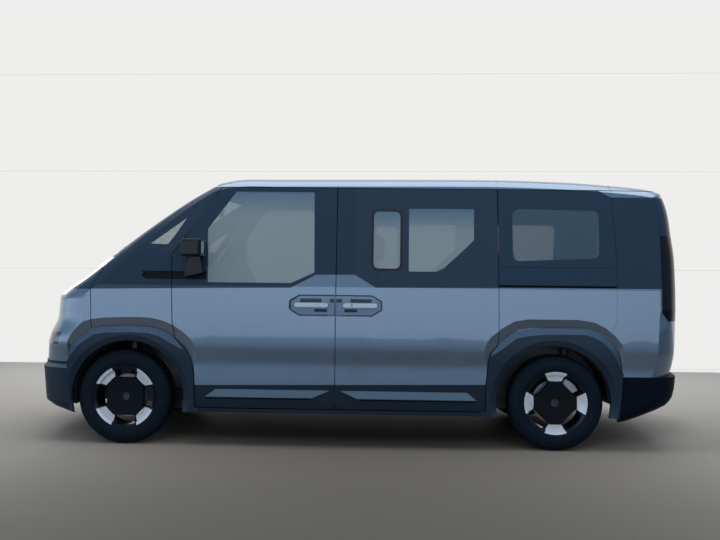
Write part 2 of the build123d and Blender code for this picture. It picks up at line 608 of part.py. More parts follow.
with BuildPart() as tailgate_stop:
    add(behind_seal)
    add(block(TAIL_X + 60, TAIL_X + 210, TAILGATE_HALF - 24, INNER_Y + 4, 900, 940), mode=Mode.INTERSECT)

with BuildPart() as side_frames:
    add(left_flank)
    add(side_prism(QUARTER_PANEL, near=500), mode=Mode.INTERSECT)
    add(cabin, mode=Mode.SUBTRACT)
    add(rear_well, mode=Mode.SUBTRACT)
    add(side_prism(REAR_CLADDING), mode=Mode.SUBTRACT)
    add(slide_hole, mode=Mode.SUBTRACT)
    add(side_prism(QUARTER_WINDOW, round_by=42), mode=Mode.SUBTRACT)
    add(tailgate_hole, mode=Mode.SUBTRACT)
    add(tail_lamp_prism, mode=Mode.SUBTRACT)
    add(seam(REAR_SEAM), mode=Mode.SUBTRACT)
    add(seam(GLASS_SEAM, upright=False), mode=Mode.SUBTRACT)
    add(cant_rail.part)
    add(front_prism(B_POST, POST_LOW_X, POST_HIGH_X))
    add(front_prism(SILL, rx(521), fx(-531)))
    add(side_prism(HINGE_POST, near=SILL_IN_Y - POST_DEPTH, far=SILL_IN_Y - 4))
    add(block(rx(200), rx(396), RAIL_Y - 40, RAIL_Y + 20, 1776, 1800))
    add(block(B_X + 18, B_X + 38, SILL_IN_Y - 10, INNER_Y - SEAT_CLEAR, FLOOR_Z, LEDGE_Z - 20))
    add(tailgate_stop.part)
    add(block(fx(-312), fx(-294), SILL_IN_Y - 20, INNER_Y, 800, 1080))
    add(block(rx(396), rx(530), SILL_CORE_Y, SILL_IN_Y, FLOOR_Z - 60, 760))
    add(rear_well, mode=Mode.SUBTRACT)
    add(drum(REAR_ARCH_X, WHEEL_Z, WELL_R + WELL_WALL + SEAT_CLEAR, 500, SILL_IN_Y), mode=Mode.SUBTRACT)
    add(block(rx(440), TAIL_X + 534, HALF_WIDTH - 60, 1000, RAIL_SLOT_Z, RAIL_SLOT_Z + 14), mode=Mode.SUBTRACT)
    mirror(about=Plane.XZ)
save(side_frames, "side_frames")

with BuildPart() as a_pillars:
    add(outer)
    add(side_prism(A_PILLAR, near=500), mode=Mode.INTERSECT)
    add(cabin, mode=Mode.SUBTRACT)
    add(door_hole, mode=Mode.SUBTRACT)
    add(screen_prism, mode=Mode.SUBTRACT)
    add(block(fx(-900), NOSE_X, 0, 1000, ROOF_BASE_Z, 2000), mode=Mode.SUBTRACT)
    add(block(fx(-900), NOSE_X, 0, SCREEN_HALF, 0, COWL_Z + 12), mode=Mode.SUBTRACT)
    add(side_prism(VENT_WINDOW), mode=Mode.SUBTRACT)
    mirror(about=Plane.XZ)
save(a_pillars, "a_pillars")

with BuildPart() as vent_windows:
    add(outer)
    add(side_prism(VENT_WINDOW), mode=Mode.INTERSECT)
    add(behind_glass, mode=Mode.SUBTRACT)
    mirror(about=Plane.XZ)
save(vent_windows, "vent_windows")

with BuildPart() as quarter_windows:
    add(outer)
    add(side_prism(QUARTER_WINDOW, round_by=42), mode=Mode.INTERSECT)
    add(behind_glass, mode=Mode.SUBTRACT)
    mirror(about=Plane.XZ)
save(quarter_windows, "rear_quarter_windows")

# ---------------------------------------------------------------- roof, screen and tailgate
with BuildPart() as roof_seams:
    for x in (B_X, rx(403), rx(-382)):
        for side in (-1, 1):
            add(block(x - SEAM / 2, x + SEAM / 2, side * (ROOF_EDGE_Y - 60), side * 1000, 1700, 2000))
    add(seam_shell, mode=Mode.INTERSECT)

with BuildPart() as roof_panel:
    add(outer)
    add(block(HINGE_REAR_X + SHUT_GAP, fx(0), -1000, 1000, ROOF_BASE_Z, 2000), mode=Mode.INTERSECT)
    add(cabin, mode=Mode.SUBTRACT)
    add(screen_prism, mode=Mode.SUBTRACT)
    add(roof_seams.part, mode=Mode.SUBTRACT)
save(roof_panel, "roof_panel")

with BuildPart() as windscreen:
    add(outer)
    add(screen_prism, mode=Mode.INTERSECT)
    add(behind_glass, mode=Mode.SUBTRACT)
save(windscreen, "windscreen")

REAR_GLASS_HALF = TAILGATE_HALF - 190
REAR_WINDOW = [(-REAR_GLASS_HALF, 1190), (REAR_GLASS_HALF, 1190), (REAR_GLASS_HALF - 35, 1640),
               (35 - REAR_GLASS_HALF, 1640)]
SPOILER_ROOT_X = HINGE_REAR_X - SHUT_GAP
SPOILER_TIP_X = TAIL_X + 54
SPOILER_HALF = TAILGATE_HALF - 132
with BuildPart() as spoiler_builder:
    for share in evenly(0.0, 1.0, 4):
        top = ROOF_Z - 67 - 26 * share
        half = SPOILER_HALF - 60 * share * share
        low = top - 42 + 28 * share
        with BuildSketch(Plane.YZ.offset(SPOILER_ROOT_X + (SPOILER_TIP_X - SPOILER_ROOT_X) * share)):
            with BuildLine():
                ThreePointArc((-half, top - 15), (0, top), (half, top - 15))
                Line((half, top - 15), (half - 10, low - 15))
                ThreePointArc((half - 10, low - 15), (0, low), (10 - half, low - 15))
                Line((10 - half, low - 15), (-half, top - 15))
            make_face()
    loft()
with BuildPart() as tailgate:
    add(outer)
    add(tailgate_prism, mode=Mode.INTERSECT)
    add(spoiler_builder.part)
    add(cabin, mode=Mode.SUBTRACT)
    add(front_prism(REAR_WINDOW, TAIL_X - 80, TAIL_X + 300), mode=Mode.SUBTRACT)
    add(block(TAIL_X - 60, TAIL_X + 24, -275, 275, 640, 770), mode=Mode.SUBTRACT)
save(tailgate, "tailgate")

with BuildPart() as tailgate_window:
    add(outer)
    add(front_prism(REAR_WINDOW, TAIL_X - 80, TAIL_X + 300), mode=Mode.INTERSECT)
    add(block(TAIL_X - 80, TAIL_X + 300, -900, 900, 1000, 1900), mode=Mode.INTERSECT)
    add(behind_glass, mode=Mode.SUBTRACT)
save(tailgate_window, "tailgate_window")

with BuildPart() as tail_lamps:
    add(outer)
    add(tail_lamp_prism, mode=Mode.INTERSECT)
    add(tailgate_hole, mode=Mode.SUBTRACT)
    add(behind_pillar, mode=Mode.SUBTRACT)
    mirror(about=Plane.XZ)
save(tail_lamps, "tail_lamps")

BLADE_LOW_Z = COWL_Z + 16
with BuildPart() as blades:
    for root in (-640, 30):
        add(front_prism([(root, BLADE_LOW_Z), (root + 600, BLADE_LOW_Z + 26), (root + 600, BLADE_LOW_Z + 36),
                         (root, BLADE_LOW_Z + 16)], fx(0), fx(320)))

with BuildPart() as wipers:
    add(upper_body(-18.0))
    add(blades.part, mode=Mode.INTERSECT)
    add(over_skin, mode=Mode.SUBTRACT)
save(wipers, "wipers")

# ---------------------------------------------------------------- nose panels
BONNET_REAR_Y = HALF_WIDTH - 238.5
BONNET_NOSE_Y = HALF_WIDTH - 257.5
STRIP_W = 45.0
BONNET_LOW_Z = EDGE_Z - 20
FAR_X = NOSE_X + 40


def bonnet_plan(grow):
    """The bonnet's outline seen from above, widened at its sides by grow."""
    return [(COWL_X, -BONNET_REAR_Y - grow), (FAR_X, -BONNET_NOSE_Y - grow),
            (FAR_X, BONNET_NOSE_Y + grow), (COWL_X, BONNET_REAR_Y + grow)]


def strip_plan(near, far):
    """The light strip's outline seen from above, beside the bonnet and the screen's foot."""
    return [(fx(100), BONNET_REAR_Y + 4 + near), (FAR_X, BONNET_NOSE_Y + near),
            (FAR_X, BONNET_NOSE_Y + far), (fx(100), BONNET_REAR_Y + 4 + far)]


bonnet_hole = plan_prism(bonnet_plan(SHUT_GAP), BONNET_LOW_Z - SHUT_GAP, 1500)
strip_prism = plan_prism(strip_plan(SHUT_GAP, SHUT_GAP + STRIP_W), BONNET_LOW_Z - SHUT_GAP, COWL_Z + 12)
fender_prism = side_prism(FENDER, near=BONNET_REAR_Y + 4 + SHUT_GAP + STRIP_W)
cladding_prism = side_prism(FRONT_CLADDING)

with BuildPart() as bonnet:
    add(outer)
    add(plan_prism(bonnet_plan(0), BONNET_LOW_Z, COWL_Z + 60), mode=Mode.INTERSECT)
    add(behind_skin, mode=Mode.SUBTRACT)
save(bonnet, "bonnet")

with BuildPart() as light_strips:
    add(outer)
    add(strip_prism, mode=Mode.INTERSECT)
    add(upper_body(20.0), mode=Mode.SUBTRACT)
    mirror(about=Plane.XZ)
save(light_strips, "light_strips")

with BuildPart() as front_fenders:
    add(left_flank)
    add(fender_prism, mode=Mode.INTERSECT)
    add(nose_bay, mode=Mode.SUBTRACT)
    add(cabin, mode=Mode.SUBTRACT)
    add(door_hole, mode=Mode.SUBTRACT)
    add(cladding_prism, mode=Mode.SUBTRACT)
    add(front_well, mode=Mode.SUBTRACT)
    add(strip_prism, mode=Mode.SUBTRACT)
    add(mirror_slot, mode=Mode.SUBTRACT)
    mirror(about=Plane.XZ)
save(front_fenders, "front_fenders")

with BuildPart() as cowl_panel:
    add(outer)
    add(block(fx(60), COWL_X - SHUT_GAP, -BONNET_REAR_Y - 8, BONNET_REAR_Y + 8, 1180, COWL_Z + 12),
        mode=Mode.INTERSECT)
    add(behind_skin, mode=Mode.SUBTRACT)
    add(strip_prism, mode=Mode.SUBTRACT)
    add(mirror(strip_prism, about=Plane.XZ, mode=Mode.PRIVATE), mode=Mode.SUBTRACT)
save(cowl_panel, "cowl_panel")

LAMP_POD = [(fx(428), 690), (FAR_X, 690), (FAR_X, 775), (fx(428), 775)]
COVER = [(fx(236), 571), (FAR_X, 571), (FAR_X, 1230), (fx(180), 1230), (fx(203), 1170), (fx(255), 1084),
         (fx(245), 1070), (fx(236), 820)]
with BuildPart() as cover_hole_builder:
    add(block(fx(0), FAR_X, -BONNET_REAR_Y - 20, BONNET_REAR_Y + 20, BONNET_LOW_Z - SHUT_GAP, 1400))
    add(strip_prism)
    mirror(about=Plane.XZ)
cover_hole = cover_hole_builder.part
headlamp_prism = side_prism(LAMP_POD, near=HALF_WIDTH - 377.5, far=HALF_WIDTH - 47.5)

with BuildPart() as front_bumper:
    add(left_flank)
    add(side_prism(COVER, near=0), mode=Mode.INTERSECT)
    add(nose_bay, mode=Mode.SUBTRACT)
    add(cladding_prism, mode=Mode.SUBTRACT)
    add(cover_hole, mode=Mode.SUBTRACT)
    add(headlamp_prism, mode=Mode.SUBTRACT)
    mirror(about=Plane.XZ)
save(front_bumper, "front_bumper")

with BuildPart() as headlamps:
    add(outer)
    add(headlamp_prism, mode=Mode.INTERSECT)
    add(behind_pillar, mode=Mode.SUBTRACT)
    mirror(about=Plane.XZ)
save(headlamps, "headlamps")

GRILLE_HALF = HALF_WIDTH - 387.5
GRILLE = [(-GRILLE_HALF, 330), (GRILLE_HALF, 330), (GRILLE_HALF + 40, 420), (GRILLE_HALF, 571),
          (-GRILLE_HALF, 571), (-GRILLE_HALF - 40, 420)]
FRONT_VALANCE = [(fx(372), 205), (FAR_X, 205), (FAR_X, 571), (fx(399), 571)]
REAR_VALANCE = [(rx(-426), 205), (rx(-448), 520), (TAIL_X - 60, 520), (TAIL_X - 60, 205)]
REAR_WALL_X = TAIL_X + 176
grille_prism = front_prism(GRILLE, fx(300), FAR_X)
with BuildPart() as nose_bar:
    add(plan_loft([540.0, 580.0, 620.0], BUMPER_NOSE, BUMPER_TAIL, 1.0, -2.0, ruled=True))
    add(front_prism([(-430, 545), (430, 545), (400, 618), (-400, 618)], fx(400), FAR_X), mode=Mode.INTERSECT)
    add(over_skin, mode=Mode.SUBTRACT)

with BuildPart() as front_valance:
    add(bumper_body)
    add(side_prism(FRONT_VALANCE, near=-1000, far=1000), mode=Mode.INTERSECT)
    add(bumper_void, mode=Mode.SUBTRACT)
    add(grille_prism, mode=Mode.SUBTRACT)
save(front_valance, "front_valance")

with BuildPart() as front_grille:
    add(bumper_body)
    add(grille_prism, mode=Mode.INTERSECT)
    add(bumper_void, mode=Mode.SUBTRACT)
    add(nose_bar.part)
save(front_grille, "front_grille")

with BuildPart() as step_plate:
    add(bumper_body)
    add(block(TAIL_X - 60, REAR_WALL_X - SEAT_CLEAR, -SILL_CORE_Y, SILL_CORE_Y, 504, 520), mode=Mode.INTERSECT)

with BuildPart() as rear_bumper:
    add(bumper_body)
    add(side_prism(REAR_VALANCE, near=-1000, far=1000), mode=Mode.INTERSECT)
    add(bumper_void, mode=Mode.SUBTRACT)
    add(step_plate.part)
save(rear_bumper, "rear_bumper")

# ---------------------------------------------------------------- arch cladding
FACET_DEPTH = 22.0
FACET_WIDTH = 46.0
ROLL_DEPTH = 26.0
ROLL_WIDTH = 40.0


def facet(points, x):
    """The cladding's face, whose upper edge leans in all round the wheel to meet the body."""
    rim = []
    for px, pz in points:
        reach = math.hypot(px - x, pz - WHEEL_Z)
        draw = FACET_WIDTH * min(1.0, max(0.0, (pz - 560) / 120)) / reach
        rim.append((px - (px - x) * draw, pz - (pz - WHEEL_Z) * draw))
    with BuildPart() as face:
        for y, outline in ((HALF_WIDTH - FACET_DEPTH, points), (HALF_WIDTH, rim)):
            with BuildSketch(Plane(origin=(0, y, 0), x_dir=(-1, 0, 0), z_dir=(0, 1, 0))):
                with BuildLine():
                    Polyline(*[(-px, pz) for px, pz in outline], close=True)
                make_face()
        loft(ruled=True)
    return face.part


def well_roll(x):
    """What is turned away round a wheel opening, so that the cladding rolls in to the well."""
    with BuildPart() as cone:
        with BuildSketch(Plane(origin=(x, HALF_WIDTH, WHEEL_Z), x_dir=(1, 0, 0), z_dir=(0, 0, 1))):
            with BuildLine():
                Polyline((0, -ROLL_DEPTH), (WELL_R, -ROLL_DEPTH), (WELL_R + ROLL_WIDTH, 0),
                         (WELL_R + ROLL_WIDTH, 20), (0, 20), close=True)
            make_face()
        revolve(axis=Axis((x, HALF_WIDTH, WHEEL_Z), (0, 1, 0)))
    return cone.part


with BuildPart() as arch_cladding:
    for outline, x in ((FRONT_CLADDING, FRONT_ARCH_X), (REAR_CLADDING, REAR_ARCH_X)):
        add(side_prism(outline, near=HALF_WIDTH - 70, far=HALF_WIDTH - FACET_DEPTH))
        add(facet(outline, x))
        add(well_roll(x), mode=Mode.SUBTRACT)
    add(front_well, mode=Mode.SUBTRACT)
    add(rear_well, mode=Mode.SUBTRACT)
    add(door_hole, mode=Mode.SUBTRACT)
    add(slide_hole, mode=Mode.SUBTRACT)
    add(side_prism(FRONT_VALANCE, near=500), mode=Mode.SUBTRACT)
    add(side_prism(REAR_VALANCE, near=500), mode=Mode.SUBTRACT)
    mirror(about=Plane.XZ)
save(arch_cladding, "arch_cladding")

# ---------------------------------------------------------------- platform under the cabin
BATTERY_Z = (196.0, FLOOR_Z - FLOOR_THICK)
with BuildPart() as floor_pan:
    add(block(REAR_WALL_X, fx(-450), -SILL_CORE_Y, SILL_CORE_Y, FLOOR_Z - FLOOR_THICK, FLOOR_Z))
    add(block(REAR_WALL_X, REAR_WALL_X + 14, -SILL_CORE_Y, SILL_CORE_Y, FLOOR_Z, 520))
    add(drum(REAR_ARCH_X, WHEEL_Z, WELL_R + WELL_WALL, WELL_IN_Y - WELL_WALL, SILL_IN_Y))
    add(drum(REAR_ARCH_X, WHEEL_Z, WELL_R + WELL_WALL, -SILL_IN_Y, WELL_WALL - WELL_IN_Y))
    add(block(rx(-500), rx(500), -1000, 1000, -100, FLOOR_Z - FLOOR_THICK), mode=Mode.SUBTRACT)
    add(drum(REAR_ARCH_X, WHEEL_Z, WELL_R, WELL_IN_Y, 1100), mode=Mode.SUBTRACT)
    add(drum(REAR_ARCH_X, WHEEL_Z, WELL_R, -1100, -WELL_IN_Y), mode=Mode.SUBTRACT)
save(floor_pan, "floor_pan")

with BuildPart() as battery_pack:
    add(block(rx(520), fx(-560), -SILL_CORE_Y + 30, SILL_CORE_Y - 30, *BATTERY_Z))
    fillet(battery_pack.edges().filter_by(Axis.Z), 40)
save(battery_pack, "battery_pack")

BULKHEAD_Y = SILL_IN_Y - 70.5
with BuildPart() as bulkhead:
    add(side_prism([(fx(-450), FLOOR_Z - FLOOR_THICK), (fx(-450), FLOOR_Z), (fx(-330), 745), (fx(-60), 800),
                    (fx(60), 1120), (fx(105), 1290), (fx(105) + BULKHEAD, 1290), (fx(60) + BULKHEAD, 1116),
                    (fx(-60) + BULKHEAD, 786), (fx(-330) + BULKHEAD, 731), (fx(-450) + BULKHEAD, 420),
                    (fx(-450) + BULKHEAD, FLOOR_Z - FLOOR_THICK)], near=-BULKHEAD_Y, far=BULKHEAD_Y))
save(bulkhead, "bulkhead")

MEMBER_TOP_Z = 236.0
with BuildPart() as drive_unit:
    add(block(fx(-290), fx(230), -270, 250, MEMBER_TOP_Z + SEAT_CLEAR, 610))
    fillet(drive_unit.edges(), 35)
save(drive_unit, "drive_unit")

ARM_Z = 205.0
RAIL_HALF = KINGPIN_Y - 358.0
BEAM_HALF = RAIL_HALF + 150
with BuildPart() as buffers:
    for side in (-1, 1):
        with Locations((NOSE_X - 242, side * (BEAM_HALF - 40), 1010)):
            Cylinder(12, 200)
    add(upper_body(SKIN + SEAT_CLEAR), mode=Mode.INTERSECT)

with BuildPart() as front_subframe:
    for side in (-1, 1):
        add(block(fx(-450) + BULKHEAD, NOSE_X - 200, side * RAIL_HALF - 40, side * RAIL_HALF + 40, 250, 328))
        for x in (fx(-265), fx(210)):
            add(block(x - 35, x + 35, side * RAIL_HALF - 40, side * RAIL_HALF + 40, 190, 328))
    for x in (fx(-265), fx(210)):
        add(block(x - 35, x + 35, -RAIL_HALF - 40, RAIL_HALF + 40, 190, MEMBER_TOP_Z))
    add(block(NOSE_X - 250, NOSE_X - 160, -BEAM_HALF, BEAM_HALF, 320, 420))
    add(block(NOSE_X - 260, NOSE_X - 225, -BEAM_HALF, BEAM_HALF, 900, 940))
    for side in (-1, 1):
        add(block(NOSE_X - 260, NOSE_X - 225, side * (BEAM_HALF - 60), side * (BEAM_HALF - 20), 400, 940))
    add(buffers.part)
save(front_subframe, "front_subframe")

ARM_ROOT_Y = RAIL_HALF + 40
FRONT_ARM = [(fx(-265), ARM_ROOT_Y), (fx(-100), KINGPIN_Y - 162), (fx(-40), KINGPIN_Y - 60),
             (fx(-28), KINGPIN_Y + 22), (fx(28), KINGPIN_Y + 22), (fx(40), KINGPIN_Y - 60),
             (fx(92), KINGPIN_Y - 162), (fx(215), ARM_ROOT_Y), (fx(150), ARM_ROOT_Y),
             (fx(0), KINGPIN_Y - 160), (fx(-195), ARM_ROOT_Y)]
with BuildPart() as front_arms:
    add(plan_prism(FRONT_ARM, ARM_Z - 10, ARM_Z + 18))
    mirror(about=Plane.XZ)
save(front_arms, "front_lower_arms")

STRUT_TOP_Z = 731.0
STRUT_Y = KINGPIN_Y - 123.0
STRUT_FOOT_Z = WHEEL_Z + 140
with BuildPart() as front_knuckle_left:
    add(block(fx(-42), fx(42), KINGPIN_Y - 36, KINGPIN_Y + 25, ARM_Z + 18 + SEAT_CLEAR, STRUT_FOOT_Z))
    add(block(fx(-30), fx(30), STRUT_Y - 30, KINGPIN_Y, STRUT_FOOT_Z - 40, STRUT_FOOT_Z))
    add(drum(fx(0), WHEEL_Z, SPINDLE_R, KINGPIN_Y, WHEEL_Y + 40))
    add(block(fx(-172), fx(-100), KINGPIN_Y - 20, WHEEL_Y - 27, WHEEL_Z - 52, WHEEL_Z + 52))
    add(block(fx(-110), fx(-40), KINGPIN_Y - 30, KINGPIN_Y, WHEEL_Z - 30, WHEEL_Z + 30))
save(front_knuckle_left, "front_knuckle_left")

with BuildPart() as front_knuckle_right:
    mirror(front_knuckle_left.part, about=Plane.XZ)
save(front_knuckle_right, "front_knuckle_right")

with BuildPart() as front_struts:
    with Locations((fx(0), STRUT_Y, (STRUT_FOOT_Z + SEAT_CLEAR + STRUT_TOP_Z) / 2)):
        Cylinder(24, STRUT_TOP_Z - STRUT_FOOT_Z - SEAT_CLEAR)
    with Locations((fx(0), STRUT_Y, STRUT_TOP_Z - 90)):
        Cylinder(48, 180)
    add(block(fx(-80), fx(80), RAIL_HALF - 30, STRUT_Y + 60, STRUT_TOP_Z, STRUT_TOP_Z + 20))
    add(block(fx(-80), fx(80), RAIL_HALF - 30, RAIL_HALF - 10, 328, STRUT_TOP_Z + 20))
    add(block(fx(-300), fx(-60), STRUT_Y - 105, STRUT_Y - 65, STRUT_TOP_Z, STRUT_TOP_Z + 20))
    add(bulkhead.part, mode=Mode.SUBTRACT)
    mirror(about=Plane.XZ)
save(front_struts, "front_struts")

TRAIL_Y = WELL_IN_Y - 58.0
DAMPER_Y = WELL_IN_Y + 64.0
DAMPER_LOW_Z = 280.0
DAMPER_TOP_Z = WHEEL_Z + math.sqrt(WELL_R ** 2 - (REAR_ARCH_X - rx(-138)) ** 2) - SEAT_CLEAR
with BuildPart() as rear_axle:
    add(block(rx(210), rx(280), -TRAIL_Y, TRAIL_Y, 225, 300))
    for side in (-1, 1):
        add(block(rx(-50), rx(500), side * TRAIL_Y - 30, side * TRAIL_Y + 30, 240, 325))
        add(block(rx(-60), rx(60), side * (TRAIL_Y - 30), side * (WHEEL_Y - 110), 262, 325))
        add(block(rx(-60), rx(60), side * (DAMPER_Y - 30), side * (WHEEL_Y - 90), 262, 398))
        add(block(rx(480), rx(515), side * TRAIL_Y - 60, side * TRAIL_Y + 60, 240, 330))
        with Locations((rx(-110), side * DAMPER_Y, (DAMPER_LOW_Z + DAMPER_TOP_Z) / 2)):
            Cylinder(28, DAMPER_TOP_Z - DAMPER_LOW_Z)
        add(block(rx(-140), rx(-50), side * DAMPER_Y - 28, side * DAMPER_Y + 28, 290, 325))
    add(drum(rx(0), WHEEL_Z, SPINDLE_R, WHEEL_Y - 95, WHEEL_Y + 40))
    add(drum(rx(0), WHEEL_Z, SPINDLE_R, -WHEEL_Y - 40, -WHEEL_Y + 95))
save(rear_axle, "rear_axle")

# ---------------------------------------------------------------- wheels
WINDOW_HALF = 65.0
WINDOW_IN = 133.0
WINDOW_OUT = 196.0
DISC_FACE = 62.0
SPOKE_PROFILE = [(155, DISC_FACE - 14), (155, DISC_FACE + 2), (161, DISC_FACE + 8), (194, DISC_FACE + 30),
                 (204, DISC_FACE + 36), (RIM_FLANGE_R - 1, TYRE_W / 2 - 8),
                 (RIM_FLANGE_R - 1, TYRE_W / 2 - 12), (RIM_R, TYRE_W / 2 - 26), (RIM_R, DISC_FACE - 14)]
SPOKE_END = [(150, -46), (150, 46), (206, 80), (230, 80), (230, -80), (206, -80)]


def wheel_tyre(x, y):
    """A tyre round the axle at (x, y), with rounded shoulders and bulged side walls."""
    half = TYRE_W / 2
    with BuildPart() as body:
        with BuildSketch(Plane(origin=(x, y, WHEEL_Z), x_dir=(1, 0, 0), z_dir=(0, 0, 1))):
            with BuildLine():
                Polyline((RIM_R + 1, -half + 26), (RIM_FLANGE_R, -half + 13))
                ThreePointArc((RIM_FLANGE_R, -half + 13), (268, -half), (TYRE_R - 38, -half + 8))
                ThreePointArc((TYRE_R - 38, -half + 8), (TYRE_R - 12, -half + 22), (TYRE_R - 4, -half + 42))
                ThreePointArc((TYRE_R - 4, -half + 42), (TYRE_R, 0), (TYRE_R - 4, half - 42))
                ThreePointArc((TYRE_R - 4, half - 42), (TYRE_R - 12, half - 22), (TYRE_R - 38, half - 8))
                ThreePointArc((TYRE_R - 38, half - 8), (268, half), (RIM_FLANGE_R, half - 13))
                Polyline((RIM_FLANGE_R, half - 13), (RIM_R + 1, half - 26), (RIM_R + 1, -half + 26))
            make_face()
        revolve(axis=Axis((x, y, WHEEL_Z), (0, 1, 0)))
    return body


def spoke_ends(x, y, out, turn):
    """Four broad spoke ends that rise from the disc to the rim's lip."""
    with BuildPart() as ends:
        with BuildSketch(Plane(origin=(x, y, WHEEL_Z), x_dir=(1, 0, 0), z_dir=(0, 0, 1))):
            with BuildLine():
                Polyline(*[(r, out * h) for r, h in SPOKE_PROFILE], close=True)
            make_face()
        revolve(axis=Axis((x, y, WHEEL_Z), (0, 1, 0)))
        with BuildSketch(Plane(origin=(x, y, WHEEL_Z), x_dir=(-out, 0, 0), z_dir=(0, out, 0))):
            with PolarLocations(0, 4, start_angle=turn):
                with BuildLine():
                    Polyline(*SPOKE_END, close=True)
                make_face()
        extrude(amount=TYRE_W / 2, mode=Mode.INTERSECT)
    return ends.part


def wheel_rim(x, y, side, turn):
    """A rim with a barrel, a broad four-armed disc and a hub bored for the spindle."""
    half = TYRE_W / 2
    out = side * 1.0
    face = Plane(origin=(x, y + out * (DISC_FACE - 16), WHEEL_Z), x_dir=(-out, 0, 0), z_dir=(0, out, 0))
    with BuildPart() as body:
        with BuildSketch(Plane(origin=(x, y, WHEEL_Z), x_dir=(1, 0, 0), z_dir=(0, 0, 1))):
            with BuildLine():
                Polyline((RIM_R - 7, -half + 14), (RIM_FLANGE_R, -half + 9), (RIM_FLANGE_R, -half + 13),
                         (RIM_R + 1, -half + 26), (RIM_R + 1, half - 26), (RIM_FLANGE_R, half - 13),
                         (RIM_FLANGE_R, half - 9), (RIM_R - 7, half - 14), (RIM_R - 7, -half + 14))
            make_face()
        revolve(axis=Axis((x, y, WHEEL_Z), (0, 1, 0)))
        with BuildSketch(face):
            Circle(RIM_R - 4)
            with PolarLocations((WINDOW_IN + WINDOW_OUT) / 2, 4, start_angle=turn):
                Rectangle(WINDOW_OUT - WINDOW_IN, 2 * WINDOW_HALF, mode=Mode.SUBTRACT)
        extrude(amount=16)
        add(drum(x, WHEEL_Z, 75, min(y, y + out * (DISC_FACE - 16)), max(y, y + out * (DISC_FACE - 16))))
        add(spoke_ends(x, y, out, turn + 45))
        with BuildSketch(face.offset(15)):
            with Locations(Rotation(0, 0, turn)):
                RectangleRounded(2 * WINDOW_IN, 2 * WINDOW_IN, 46)
        extrude(amount=13, taper=24)
        add(drum(x, WHEEL_Z, 150, min(y, y - out * 22), max(y, y - out * 22)))
        add(drum(x, WHEEL_Z, SPINDLE_R + BEARING_CLEAR, y - 200, y + 200), mode=Mode.SUBTRACT)
    return body


WHEELS = {"front_left": (fx(0), 1, 45), "front_right": (fx(0), -1, 45),
          "rear_left": (rx(0), 1, 0), "rear_right": (rx(0), -1, 0)}
for corner, (x, side, turn) in WHEELS.items():
    save(wheel_tyre(x, side * WHEEL_Y), f"tyre_{corner}")
    save(wheel_rim(x, side * WHEEL_Y, side, turn + 45), f"wheel_{corner}")

# ---------------------------------------------------------------- cabin fittings
DASH = [(fx(94), 1284), (fx(-250), 1226), (fx(-470), 1180), (fx(-560), 1120), (fx(-520), 980),
        (fx(-400), 860), (fx(-74), 808), (fx(54), 1118)]
DASH_HALF = SILL_IN_Y - POST_DEPTH - SEAT_CLEAR
AISLE = 280.0
SEAT_ROOM = 190.5
SEAT_HALF = (SILL_IN_Y - SEAT_ROOM - AISLE / 2) / 2
SEAT_Y = AISLE / 2 + SEAT_HALF
COLUMN_X = fx(-800)
COLUMN_Z = 1150.0
COLUMN_TILT = 28.0
with BuildPart() as dashboard:
    add(side_prism(DASH, near=-DASH_HALF, far=DASH_HALF))
save(dashboard, "dashboard")

column = Plane(origin=(COLUMN_X, SEAT_Y, COLUMN_Z), x_dir=(0, 1, 0),
               z_dir=(-math.cos(math.radians(COLUMN_TILT)), 0, math.sin(math.radians(COLUMN_TILT))))
with BuildPart() as steering_column:
    with BuildSketch(column.offset(-14)):
        Circle(38)
    extrude(amount=-300)
    add(dashboard.part, mode=Mode.SUBTRACT)
    with BuildSketch(column.offset(-14)):
        Circle(12)
    extrude(amount=30)
save(steering_column, "steering_column")

with BuildPart() as steering_wheel:
    with BuildSketch(Plane(origin=column.origin, x_dir=column.x_dir, z_dir=column.y_dir)):
        with Locations((170, 0)):
            Ellipse(16, 13)
    revolve(axis=Axis(column.origin, column.z_dir))
    with BuildSketch(column.offset(-12)):
        Circle(62)
        Rectangle(330, 44)
        with Locations((0, -85)):
            Rectangle(70, 160)
    extrude(amount=22)
    with BuildSketch(column.offset(-20)):
        Circle(12 + BEARING_CLEAR)
    extrude(amount=38, mode=Mode.SUBTRACT)
save(steering_wheel, "steering_wheel")

SEAT_X = fx(-1500)
SEAT_CUSHION_Z = 640.0


def cushion(x0, x1, y0, y1, z0, z1, edge):
    """A padded block with rounded edges."""
    with BuildPart() as body:
        add(block(x0, x1, y0, y1, z0, z1))
        fillet(body.edges(), edge)
    return body.part


def backrest(x, y, half, z0, z1, thick, lean):
    """A padded back, leaning to the rear."""
    slant = math.tan(math.radians(lean)) * (z1 - z0)
    with BuildPart() as body:
        add(side_prism([(x, z0), (x + thick, z0), (x + thick - slant, z1), (x + 0.2 * thick - slant, z1)],
                       near=y - half, far=y + half))
        add(front_prism([(y - half, z0), (y + half, z0), (y + half * 0.86, z1), (y - half * 0.86, z1)],
                        x - 400, x + 400), mode=Mode.INTERSECT)
        fillet(body.edges(), 24)
    return body.part


RECLINER = 12.0
with BuildPart() as seat_bases:
    for side in (-1, 1):
        middle = side * SEAT_Y
        add(block(SEAT_X, SEAT_X + 430, middle - 190, middle + 190, FLOOR_Z, SEAT_CUSHION_Z))
        add(block(SEAT_X - 120, SEAT_X + 60, middle - SEAT_HALF - RECLINER, middle + SEAT_HALF + RECLINER,
                  SEAT_CUSHION_Z - 30, SEAT_CUSHION_Z))
        for edge in (-1, 1):
            inside = middle + edge * (SEAT_HALF + SEAT_CLEAR)
            outside = middle + edge * (SEAT_HALF + RECLINER)
            add(block(SEAT_X - 120, SEAT_X + 60, inside, outside, SEAT_CUSHION_Z - 30, SEAT_CUSHION_Z + 150))
save(seat_bases, "front_seat_bases")

